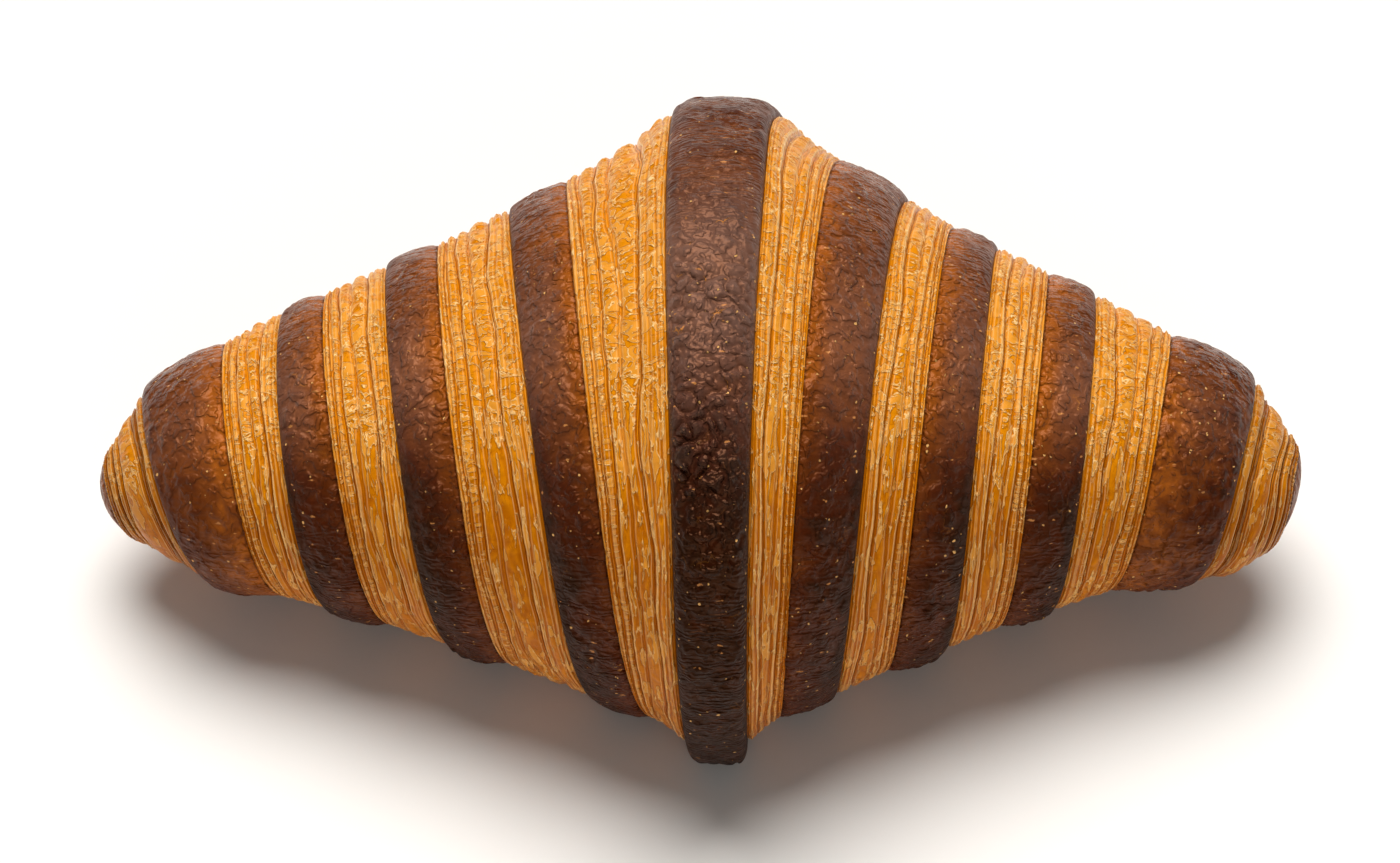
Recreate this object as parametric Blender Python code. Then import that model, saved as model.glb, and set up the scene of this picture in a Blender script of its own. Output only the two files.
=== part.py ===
"""A baked croissant, modelled as the triangle of dough that it is rolled from.

The roll lies along X and rests on the XY plane at z = 0. Its front faces -Y. Each side of the
dough triangle leaves one spiral edge on the roll: a dark baked skin ends in a rounded shoulder,
below it shows the pale cut face of the layers, and that face runs into the seam where the skin of
the next wrap comes out. Shape sizes below are in millimetres and the mesh is in metres.
"""
import math

import bmesh
import bpy
import numpy as np

MM = 0.001

# --- The whole roll -------------------------------------------------------------------------
REACH_LEFT = 88.0        # from the middle of the flap to the left tip
REACH_RIGHT = 83.6       # from the middle of the flap to the right tip
TIP_START_LEFT = 75.0    # where the roll starts to round off into its tip
TIP_START_RIGHT = 75.0
TIP_ROUNDNESS = 1.9      # exponent of the tip's outline, 2 is an ellipse

CORE_RADIUS = 42.5       # mean radius of the cone that the roll follows, at its middle
TAPER_LEFT = 0.365       # how fast that cone narrows, mm for each mm
TAPER_RIGHT = 0.396
WAIST_SWELL = 3.2        # extra radius beside the flap
WAIST_REACH = 22.5       # how far the swell spreads along the roll
DEPTH_RATIO = 1.07       # the section is an ellipse, wider than the cone
HEIGHT_RATIO = 0.907     # and lower

AXIS_HEIGHT = 26.0       # height of the roll's axis beside the flap
AXIS_CROWN = 4.0         # the axis rises by this much at the flap
AXIS_DROOP = 9.1         # the tips hang this much lower
AXIS_BOW = 1.2           # and come forward by this much
DROOP_POWER = 2.7
AXIS_TILT = 0.5          # the right tip lies this much higher than the left one
DROOP_SPAN = 85.0        # distance along the axis at which the droop is measured

TABLE_BLEND = 4.0        # height over which the section rounds off onto its flat base
TABLE_EASE = 0.25        # share of that height by which the rounding stays off the table

# --- The spiral edges -----------------------------------------------------------------------
# Distance from the flap's middle at every half turn, from the front of the flap outwards:
# a value at the front below, then one at the back above, and so on.
HALF_TURN = 180.0
BACK_ABOVE = 135.0       # angle round the roll where the whole turns are counted from
LEFT_SHOULDERS = (3.9, 7.6, 17.6, 29.0, 38.4, 45.4, 56.6, 59.5, 73.0, 79.5)
LEFT_SEAMS = (9.5, 21.5, 30.1, 38.6, 48.1, 53.8, 63.8, 67.7, 83.0, 84.9)
RIGHT_SHOULDERS = (3.8, 7.6, 16.3, 25.1, 32.9, 37.9, 48.7, 51.8, 69.0, 74.8)
RIGHT_SEAMS = (7.9, 16.1, 24.3, 31.8, 40.4, 45.3, 57.2, 62.8, 79.7, 82.1)
WRAPS = 5                # wraps of dark skin that show on each side, beyond the flap
LAST_WRAP = 0.5          # the last one's skin reaches at least this far over the tip

SKEW_BACK = 2.4          # the flap swings to the right by this much at the back
SKEW_FRONT = 1.7         # and by this much where it turns under at the front
SKEW_REST = 0.6          # and lies this much to the left between the two
SKEW_REACH = 45.0        # how far along the roll the wraps share that swing
SKEW_BACK_FROM = 205.0   # angles round the roll where the two swings start
SKEW_FRONT_FROM = 245.0
SKEW_SPAN = 75.0
SKEW_LIMIT = 1.2         # a swing stops growing past this share of its span

# --- The relief of one wrap -----------------------------------------------------------------
FLAP_RISE_BACK = 3.8     # the flap stands this far above its own cut face
FLAP_RISE_FRONT = 4.4
FLAP_ROUNDING = 9.0      # width over which the flap rounds down at its edge
SKIN_SWELL = 0.15        # a skin bulges by this share of its width
SKIN_ROUNDNESS = 1.8     # exponent of the skin's outline
SKIN_SWELL_PEAK = 0.41   # highest value of that outline above its chord
CUT_HOLLOW = 0.015       # the cut face sags by this share of its width

# --- The mesh -------------------------------------------------------------------------------
AROUND = 48                                        # faces round the roll
FLAP_STEPS = (0.45, 0.75, 0.92, 1.0)               # rings between the flap's middle and its edge
SKIN_STEPS = (0.0, 0.3, 0.6, 0.84, 1.0)            # rings across a skin, from its seam outwards
CUT_STEPS = (0.25, 0.5, 0.75)                      # rings across a cut face
TIP_STEPS = (0.0, 0.5, 0.85)                       # rings on the last wrap, before the pole
UNDERSIDE = 45.0                                   # the rings run back within this angle of below

LEFT = -1
RIGHT = 1
CRUST_COLOUR = (0.235, 0.088, 0.024, 1.0)


def steady_curve(values, position):
    """Smooth curve through equally spaced, rising values; straight beyond both ends."""
    values = np.asarray(values)
    rises = np.diff(values)
    slopes = np.empty(len(values))
    slopes[1:-1] = 2.0 * rises[:-1] * rises[1:] / (rises[:-1] + rises[1:])
    slopes[0] = rises[0]
    slopes[-1] = rises[-1]
    position = np.asarray(position, dtype=float)
    cell = np.clip(np.floor(position).astype(int), 0, len(values) - 2)
    t = np.clip(position - cell, 0.0, 1.0)
    curve = (
        values[cell] * (1 + 2 * t) * (1 - t) ** 2
        + slopes[cell] * t * (1 - t) ** 2
        + values[cell + 1] * t * t * (3 - 2 * t)
        + slopes[cell + 1] * t * t * (t - 1)
    )
    before = np.minimum(position, 0.0) * slopes[0]
    after = np.maximum(position - (len(values) - 1), 0.0) * slopes[-1]
    return curve + before + after


def reach(side):
    """Distance from the flap's middle to the tip."""
    return REACH_LEFT if side == LEFT else REACH_RIGHT


def shoulder(side, unrolled):
    """Distance to the dark skin's edge, for an angle wound back from BACK_ABOVE."""
    values = LEFT_SHOULDERS if side == LEFT else RIGHT_SHOULDERS
    limit = reach(side) - LAST_WRAP
    return np.minimum(steady_curve(values, unrolled / HALF_TURN + 1.0), limit)


def seam(side, unrolled):
    """Distance to the outer border of the cut face that belongs to that edge."""
    values = LEFT_SEAMS if side == LEFT else RIGHT_SEAMS
    limit = reach(side) - LAST_WRAP
    return np.minimum(steady_curve(values, unrolled / HALF_TURN + 1.0), limit)


def borders(side, unrolled):
    """Every shoulder and seam along one side, from the flap outwards, at one place round."""
    rows = []
    for wrap in range(WRAPS):
        rows.append(shoulder(side, unrolled + 360.0 * wrap))
        rows.append(seam(side, unrolled + 360.0 * wrap))
    return np.maximum.accumulate(np.array(rows), axis=0)


def cone_radius(side, distance):
    """Mean radius of the roll under its relief."""
    taper = TAPER_LEFT if side == LEFT else TAPER_RIGHT
    start = TIP_START_LEFT if side == LEFT else TIP_START_RIGHT
    swell = WAIST_SWELL * np.exp(-((distance / WAIST_REACH) ** 2))
    t = np.clip((distance - start) / (reach(side) - start), 0.0, 1.0)
    closing = (1.0 - t**TIP_ROUNDNESS) ** (1.0 / TIP_ROUNDNESS)
    return (CORE_RADIUS - taper * distance + swell) * closing


def flap_rise(around):
    """Height of the flap above its cut face, which grows towards the front."""
    share = np.clip((around - BACK_ABOVE) / HALF_TURN, 0.0, 1.0)
    return FLAP_RISE_BACK + (FLAP_RISE_FRONT - FLAP_RISE_BACK) * share


def skin_outline(t):
    """Outline of a skin above its chord: flat out of its seam, rounding down at its shoulder."""
    n = SKIN_ROUNDNESS
    return ((1.0 - t**n) ** (1.0 / n) - 1.0 + t) / SKIN_SWELL_PEAK


def radius(side, distance, around):
    """Radius of the croissant's surface, with the relief of its wraps."""
    edges = borders(side, BACK_ABOVE - around)
    below = (edges <= distance).sum(axis=0)
    inner = np.take_along_axis(edges, np.clip(below - 1, 0, 2 * WRAPS - 1)[None], axis=0)[0]
    outer = np.take_along_axis(edges, np.clip(below, 0, 2 * WRAPS - 1)[None], axis=0)[0]
    width = np.maximum(outer - inner, 1e-6)
    t = np.clip((distance - inner) / width, 0.0, 1.0)
    chord = (1.0 - t) * cone_radius(side, inner) + t * cone_radius(side, outer)
    skin = chord + SKIN_SWELL * width * skin_outline(t)
    cut = chord - CUT_HOLLOW * width * np.sin(math.pi * t)
    rounding = np.minimum(FLAP_ROUNDING, edges[0])
    past = np.clip((distance - edges[0]) / rounding + 1.0, 0.0, 1.0)
    flap = cone_radius(side, edges[0]) + flap_rise(around) * np.sqrt(1.0 - past * past)
    relief = np.where(below % 2 == 0, skin, cut)
    relief = np.where(below == 0, flap, relief)
    return np.where(below >= 2 * WRAPS - 1, cone_radius(side, distance), relief)


def skew(distance, around):
    """Sideways swing that the wraps share with the flap."""
    back = np.clip((SKEW_BACK_FROM - around) / SKEW_SPAN, 0.0, SKEW_LIMIT) ** 2
    front = np.clip((around - SKEW_FRONT_FROM) / SKEW_SPAN, 0.0, SKEW_LIMIT) ** 2
    swing = SKEW_BACK * back + SKEW_FRONT * front - SKEW_REST
    return swing * np.exp(-((distance / SKEW_REACH) ** 2))


def on_table(height):
    """Height above the table, rounded off into the flat base."""
    press = np.clip(1.0 - np.abs(height) / TABLE_BLEND, 0.0, None)
    return np.maximum(height, 0.0) + TABLE_EASE * TABLE_BLEND * press * press


def surface(side, distance, around):
    """Points of the surface, in millimetres, with the flap's middle at x = 0."""
    size = radius(side, distance, around)
    angle = np.radians(around)
    across = size * DEPTH_RATIO * np.sin(angle)
    upright = -size * HEIGHT_RATIO * np.cos(angle)
    along = distance / DROOP_SPAN
    drooped = along**DROOP_POWER
    lean = DROOP_POWER * along ** (DROOP_POWER - 1.0) / DROOP_SPAN
    crown = AXIS_CROWN * np.exp(-((distance / WAIST_REACH) ** 2))
    height = AXIS_HEIGHT - AXIS_DROOP * drooped + crown + AXIS_TILT * side * along + upright
    spot = distance + lean * (AXIS_BOW * across + AXIS_DROOP * upright)
    x = side * spot + skew(distance, around)
    return np.stack([x, across - AXIS_BOW * drooped, on_table(height)], axis=-1)


def ring_places(side, unrolled):
    """Distances of one side's rings, one row for each ring, from the flap outwards."""
    edges = borders(side, unrolled)
    places = [t * edges[0] for t in FLAP_STEPS]
    for wrap in range(WRAPS):
        inner, outer = edges[2 * wrap], edges[2 * wrap + 1]
        places += [inner + t * (outer - inner) for t in CUT_STEPS]
        last = wrap == WRAPS - 1
        end = np.full_like(outer, reach(side)) if last else edges[2 * wrap + 2]
        places += [outer + t * (end - outer) for t in (TIP_STEPS if last else SKIN_STEPS)]
    return np.array(places)


def ring_angle(around):
    """Unrolled angle that the rings follow; under the roll they run back to close up."""
    behind = np.clip(around / UNDERSIDE, 0.0, 1.0)
    ahead = np.clip((360.0 - around) / UNDERSIDE, 0.0, 1.0)
    start = -UNDERSIDE + behind * BACK_ABOVE
    end = -UNDERSIDE - ahead * (HALF_TURN - UNDERSIDE)
    wound = np.where(around < UNDERSIDE, start, BACK_ABOVE - around)
    return np.where(around > 360.0 - UNDERSIDE, end, wound)


def place_rings():
    """Points of every ring, from the left tip's to the right tip's, in millimetres."""
    around = np.arange(AROUND) * 360.0 / AROUND
    sides = {}
    for side in (LEFT, RIGHT):
        places = ring_places(side, ring_angle(around))
        sides[side] = surface(side, places, np.broadcast_to(around, places.shape))
    middle = surface(RIGHT, np.zeros((1, AROUND)), around[None])
    return np.concatenate([sides[LEFT][::-1], middle, sides[RIGHT]])


def build_croissant(collection):
    """A sphere with its poles at the tips, its rings laid along the spiral edges."""
    rows = place_rings()
    poles = [surface(side, np.array([reach(side)]), np.zeros(1))[0] for side in (LEFT, RIGHT)]
    form = bmesh.new()
    bmesh.ops.create_uvsphere(form, u_segments=AROUND, v_segments=len(rows) + 1, radius=1.0)
    for vertex in form.verts:
        x, y, z = vertex.co
        ring = round((1.0 - math.acos(max(-1.0, min(1.0, z))) / math.pi) * (len(rows) + 1))
        if ring == 0:
            vertex.co = poles[0]
        elif ring == len(rows) + 1:
            vertex.co = poles[1]
        else:
            step = round(math.atan2(y, x) / (2.0 * math.pi) * AROUND) % AROUND
            vertex.co = rows[ring - 1][step]
    spots = np.array([vertex.co[:] for vertex in form.verts])
    middle = 0.5 * (spots.min(axis=0) + spots.max(axis=0))
    for vertex in form.verts:
        vertex.co.x = (vertex.co.x - middle[0]) * MM
        vertex.co.y = (vertex.co.y - middle[1]) * MM
        vertex.co.z = vertex.co.z * MM
    bmesh.ops.triangulate(form, faces=form.faces)
    mesh = bpy.data.meshes.new("croissant")
    form.to_mesh(mesh)
    form.free()
    mesh.shade_smooth()
    croissant = bpy.data.objects.new("croissant", mesh)
    collection.objects.link(croissant)
    return croissant


def baked_crust():
    """Egg-washed, dark baked crust."""
    material = bpy.data.materials.new("baked_crust")
    material.use_nodes = True
    shader = material.node_tree.nodes["Principled BSDF"]
    shader.inputs["Base Color"].default_value = CRUST_COLOUR
    shader.inputs["Roughness"].default_value = 0.45
    shader.inputs["Metallic"].default_value = 0.0
    return material


def main():
    """Clears the scene and builds the croissant in a collection of its own."""
    for old in list(bpy.data.objects):
        bpy.data.objects.remove(old, do_unlink=True)
    collection = bpy.data.collections.new("croissant")
    bpy.context.scene.collection.children.link(collection)
    croissant = build_croissant(collection)
    croissant.data.materials.append(baked_crust())


main()
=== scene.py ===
"""The looks of the baked croissant: crust, golden cut layers, floor, light and camera.

The croissant is one triangle of dough rolled up, so each side of the roll is a spiral ribbon. A turn
of it is a dark skin that ends in a rounded shoulder, and the pale cut face of the layers below that
shoulder. Each turn's skin and cut face is a closed piece of its own, tucked under the turn that lies
on it. Shapes are worked out in millimetres and meshes are in metres. Angles round the roll are in
degrees: 0 below, 90 behind, 180 above and 270 in front.
"""
import logging
import math
from dataclasses import dataclass, replace
from enum import Enum
from functools import partial
from typing import Any, Callable, Sequence

import bpy
import numpy as np
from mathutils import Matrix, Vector


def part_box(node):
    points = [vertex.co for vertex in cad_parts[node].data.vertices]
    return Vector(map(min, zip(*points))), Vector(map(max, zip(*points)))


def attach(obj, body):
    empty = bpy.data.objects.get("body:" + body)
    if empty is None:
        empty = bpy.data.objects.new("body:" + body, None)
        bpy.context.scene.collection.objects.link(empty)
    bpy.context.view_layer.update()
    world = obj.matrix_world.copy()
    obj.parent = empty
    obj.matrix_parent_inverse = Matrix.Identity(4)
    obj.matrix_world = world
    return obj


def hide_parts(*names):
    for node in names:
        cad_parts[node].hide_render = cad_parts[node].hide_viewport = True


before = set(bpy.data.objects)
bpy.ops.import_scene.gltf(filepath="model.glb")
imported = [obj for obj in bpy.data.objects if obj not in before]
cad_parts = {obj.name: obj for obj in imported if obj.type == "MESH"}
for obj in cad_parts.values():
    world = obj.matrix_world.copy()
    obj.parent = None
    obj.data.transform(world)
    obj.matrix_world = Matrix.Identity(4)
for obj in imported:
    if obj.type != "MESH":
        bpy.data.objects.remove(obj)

LOG = logging.getLogger("croissant")
MM = 0.001
TINY = 1e-6
NODE = "croissant"
BODY = "root"
BAKE_MAP = "OFBake"
FULL_TURN = 360.0
HALF_TURN = 180.0
# Where the back starts to turn down to the table, and over how many degrees.
HEEL = 112.0
HEEL_SPAN = 40.0
# Distance in mm beyond which the mark "seam", the distance from a seam, rises no more, and a
# distance for a skin that comes out of no seam.
SEAM_REACH = 3.0
NO_SEAM = 9.0
# Reach in mm of the duller rim along a skin's free edge, and of the smooth lip on that edge.
RIM_REACH = 1.5
LIP_REACH = 1.2
# Extra columns beyond a strip's border, as (shift along the roll, depth) in mm: where it passes
# under its neighbour, and where its free edge curls in over the strip below it.
TUCKED = np.array(((-1.6, 1.7), (-1.0, 1.15), (-0.5, 0.7), (-0.15, 0.42)))
CURLED = np.array(((0.06, 0.35), (0.02, 0.75), (-0.25, 1.15), (-0.9, 1.6)))
# What adds a node to a material, what an input is linked from, and the outputs of a piece's marks.
AddNode = Callable[..., bpy.types.Node]
Link = bpy.types.Node | bpy.types.NodeSocket
Marks = dict[str, bpy.types.NodeSocket]


class Side(Enum):
    """Which way along the roll a piece lies."""

    LEFT = -1
    RIGHT = 1

    @property
    def label(self) -> str:
        """Word that starts the names of this side's pieces."""
        return self.name.lower()


class Grain(Enum):
    """How the surface of one cut layer looks close up."""

    PLAIN = "plain"
    FIBROUS = "fibrous"
    CRINKLED = "crinkled"
    CRIMPED = "crimped"


def srgb(code: str) -> tuple[float, float, float, float]:
    """Turns a colour as seen on screen into the linear values that a shader takes.

    Args:
        code: Six hexadecimal digits, red, green and blue.

    Returns:
        Linear red, green, blue and an alpha of 1.
    """
    shown = [int(code[i:i + 2], 16) / 255.0 for i in (0, 2, 4)]
    linear = [c / 12.92 if c <= 0.04045 else ((c + 0.055) / 1.055) ** 2.4 for c in shown]
    return (linear[0], linear[1], linear[2], 1.0)


def ease(t: np.ndarray | float) -> np.ndarray:
    """Smooth step from 0 to 1 for t between 0 and 1, and flat outside."""
    t = np.clip(t, 0.0, 1.0)
    return t * t * (3.0 - 2.0 * t)


def bell(value: np.ndarray | float, span: float, middle: float = 0.0) -> np.ndarray:
    """1 where a value is at its middle, fading to 0 over about two spans on both sides."""
    return np.exp(-(((value - middle) / span) ** 2))


def lowness(around: np.ndarray, start: float, span: float) -> np.ndarray:
    """Rises from 0 on top to 1 low in front, from a start over a span, and to 1 low behind."""
    return ease((around - start) / span) + ease((HEEL - around) / HEEL_SPAN)


def length_of(way: np.ndarray) -> np.ndarray:
    """Length of each vector, never quite 0, so that the vector can be divided by it."""
    return np.maximum(np.linalg.norm(way, axis=-1, keepdims=True), TINY)


def pad(values: np.ndarray, before: int, after: int) -> np.ndarray:
    """Repeats the first and last column of an array, to go with the extra columns at a border."""
    return np.pad(np.asarray(values, dtype=float), ((0, 0), (before, after)), mode="edge")


class Unevenness:
    """Seeded random fields in space, which give the dough its lumps, pebbles and wrinkles.

    A number added to all places reads a field of its own. The gains bring fields to about -1 to 1.
    """

    TABLE = 256
    GAIN = 1.7
    RIDGE_GAIN = 2.8
    FOLD_GAIN = 3.2
    CREASE = 0.05
    FAR = 9.0

    def __init__(self, seed: int) -> None:
        """Draws the tables of random directions and places.

        Args:
            seed: Number that fixes every field of this object.
        """
        draw = np.random.default_rng(seed)
        self.order = draw.permutation(self.TABLE)
        ways = draw.normal(size=(self.TABLE, 3))
        self.ways = ways / np.linalg.norm(ways, axis=1, keepdims=True)
        self.places = draw.random((self.TABLE, 3))
        self.shift = draw.random(3) * self.TABLE

    def key(self, cell: np.ndarray) -> np.ndarray:
        """Mixes a cell's three whole numbers into one.

        Args:
            cell: The numbers of each cell.

        Returns:
            A number from 0 to TABLE - 1 for each cell.
        """
        mixed = self.order[cell[..., 0] % self.TABLE]
        mixed = self.order[(mixed + cell[..., 1]) % self.TABLE]
        return self.order[(mixed + cell[..., 2]) % self.TABLE]

    def smooth(self, spots: np.ndarray) -> np.ndarray:
        """Gradient noise.

        Args:
            spots: Places, in units of one lump, with 3 values each.

        Returns:
            A value of about -1 to 1 for each place.
        """
        moved = spots + self.shift
        cell = np.floor(moved).astype(int)
        part = moved - cell
        fade = part ** 3 * (part * (part * 6.0 - 15.0) + 10.0)
        total = np.zeros(spots.shape[:-1])
        for corner in np.ndindex(2, 2, 2):
            step = np.array(corner)
            way = self.ways[self.key(cell + step)]
            share = np.where(step == 1, fade, 1.0 - fade).prod(axis=-1)
            total += share * ((part - step) * way).sum(axis=-1)
        return total * self.GAIN

    def ridges(self, spots: np.ndarray) -> np.ndarray:
        """Noise that peaks along winding lines, from about -1 between them to 1 on them."""
        return 1.0 - self.RIDGE_GAIN * np.abs(self.smooth(spots))

    def folds(self, spots: np.ndarray) -> np.ndarray:
        """Noise of rounded folds with narrow creases between them, from about -1 to 1."""
        return self.FOLD_GAIN * np.sqrt(self.smooth(spots) ** 2 + self.CREASE ** 2) - 1.0

    def gaps(self, spots: np.ndarray) -> np.ndarray:
        """Cell noise: how far each place is from the border of its random cell, 0 on the border.

        Args:
            spots: Places, in units of one cell, with 3 values each.

        Returns:
            The difference of the distances to the two nearest cell centres.
        """
        moved = spots + self.shift
        cell = np.floor(moved).astype(int)
        nearest = np.full(spots.shape[:-1], self.FAR)
        second = nearest.copy()
        for corner in np.ndindex(3, 3, 3):
            other = cell + np.array(corner) - 1
            away = np.linalg.norm(other + self.places[self.key(other)] - moved, axis=-1)
            second = np.minimum(second, np.maximum(nearest, away))
            nearest = np.minimum(nearest, away)
        return second - nearest


def steady_curve(values: Sequence[float], position: np.ndarray) -> np.ndarray:
    """Smooth curve through equally spaced, rising values; straight beyond both ends.

    Args:
        values: The curve's value at 0, 1, 2 and so on.
        position: Where the curve is read.

    Returns:
        The curve's value at each position.
    """
    knots = np.asarray(values, dtype=float)
    rises = np.diff(knots)
    slopes = np.empty(len(knots))
    slopes[1:-1] = 2.0 * rises[:-1] * rises[1:] / (rises[:-1] + rises[1:])
    slopes[0], slopes[-1] = rises[0], rises[-1]
    position = np.asarray(position, dtype=float)
    cell = np.clip(np.floor(position).astype(int), 0, len(knots) - 2)
    t = np.clip(position - cell, 0.0, 1.0)
    curve = (
        knots[cell] * (1 + 2 * t) * (1 - t) ** 2
        + slopes[cell] * t * (1 - t) ** 2
        + knots[cell + 1] * t * t * (3 - 2 * t)
        + slopes[cell + 1] * t * t * (t - 1)
    )
    before = np.minimum(position, 0.0) * slopes[0]
    after = np.maximum(position - (len(knots) - 1), 0.0) * slopes[-1]
    return curve + before + after


def rounded(t: np.ndarray, power: float = 1.8, peak: float = 0.41) -> np.ndarray:
    """Outline of a baked layer above its chord: flat at 0, rounding steeply down at 1.

    Args:
        t: Place across the layer, from 0 to 1.
        power: Exponent of the round, 2 is a quarter of a circle.
        peak: Highest value of that outline, which brings it to about 1.

    Returns:
        Height above the chord, from 0 to 1.
    """
    t = np.clip(t, 0.0, 1.0)
    return ((1.0 - t ** power) ** (1.0 / power) - 1.0 + t) / peak


@dataclass(frozen=True)
class Flank:
    """One side of the roll: its cone and the spiral edges on it, in millimetres.

    The edges are distances from the middle of the flap at every half turn, from the front of the
    flap outwards: a value at the front below, then one at the back above, and so on.
    """

    side: Side
    reach: float
    taper: float
    shoulders: tuple[float, ...]
    seams: tuple[float, ...]
    tip_start: float = 75.0
    tip_roundness: float = 1.9
    last_skin: float = 0.5
    # How far the edges are drawn towards the flap where they face front and up.
    draw_in: float = 0.0
    draw_in_at: float = -90.0
    draw_in_focus: int = 3
    # How much narrower each half of the flap is where it goes over the back.
    pinch: float = 0.4
    pinch_at: float = -4.0
    pinch_span: float = 26.0
    # How much fuller the end is in front and below.
    belly: float = 0.0
    belly_distance: float = 77.0
    belly_reach: float = 8.5
    belly_at: float = 300.0
    belly_focus: float = 1.5
    belly_fade: float = 7.0

    def filled(self, distance: np.ndarray, around: np.ndarray, size: np.ndarray) -> np.ndarray:
        """Radius with the fuller underside of the end.

        Args:
            distance: Distance from the middle of the flap.
            around: Angle round the roll.
            size: Radius without it.

        Returns:
            The radius at each point.
        """
        facing = np.clip(np.cos(np.radians(around - self.belly_at)), 0.0, 1.0) ** self.belly_focus
        near = bell(distance, self.belly_reach, self.belly_distance)
        return size + self.belly * near * facing * np.clip(size / self.belly_fade, 0.0, 1.0)

    def edge(self, values: tuple[float, ...], unrolled: np.ndarray) -> np.ndarray:
        """Distance to a spiral edge.

        Args:
            values: The edge's distance at every half turn.
            unrolled: Angle along the spiral.

        Returns:
            The distance at each angle, drawn in where it faces front and up.
        """
        facing = np.clip(np.cos(np.radians(unrolled - self.draw_in_at)), 0.0, 1.0)
        drawn = self.draw_in * facing ** self.draw_in_focus
        return steady_curve(values, unrolled / HALF_TURN + 1.0) - drawn

    def shoulder(self, unrolled: np.ndarray) -> np.ndarray:
        """Distance to the edge of the dark skin.

        Args:
            unrolled: Angle along the spiral.

        Returns:
            The distance at each angle, less the flap's pinch over the back.
        """
        curve = self.edge(self.shoulders, unrolled)
        curve = curve - self.pinch * bell(unrolled, self.pinch_span, self.pinch_at)
        return np.minimum(curve, self.reach - self.last_skin)

    def seam(self, unrolled: np.ndarray) -> np.ndarray:
        """Distance to the outer border of the cut face, at an angle along the spiral."""
        return np.minimum(self.edge(self.seams, unrolled), self.reach - self.last_skin)


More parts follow.
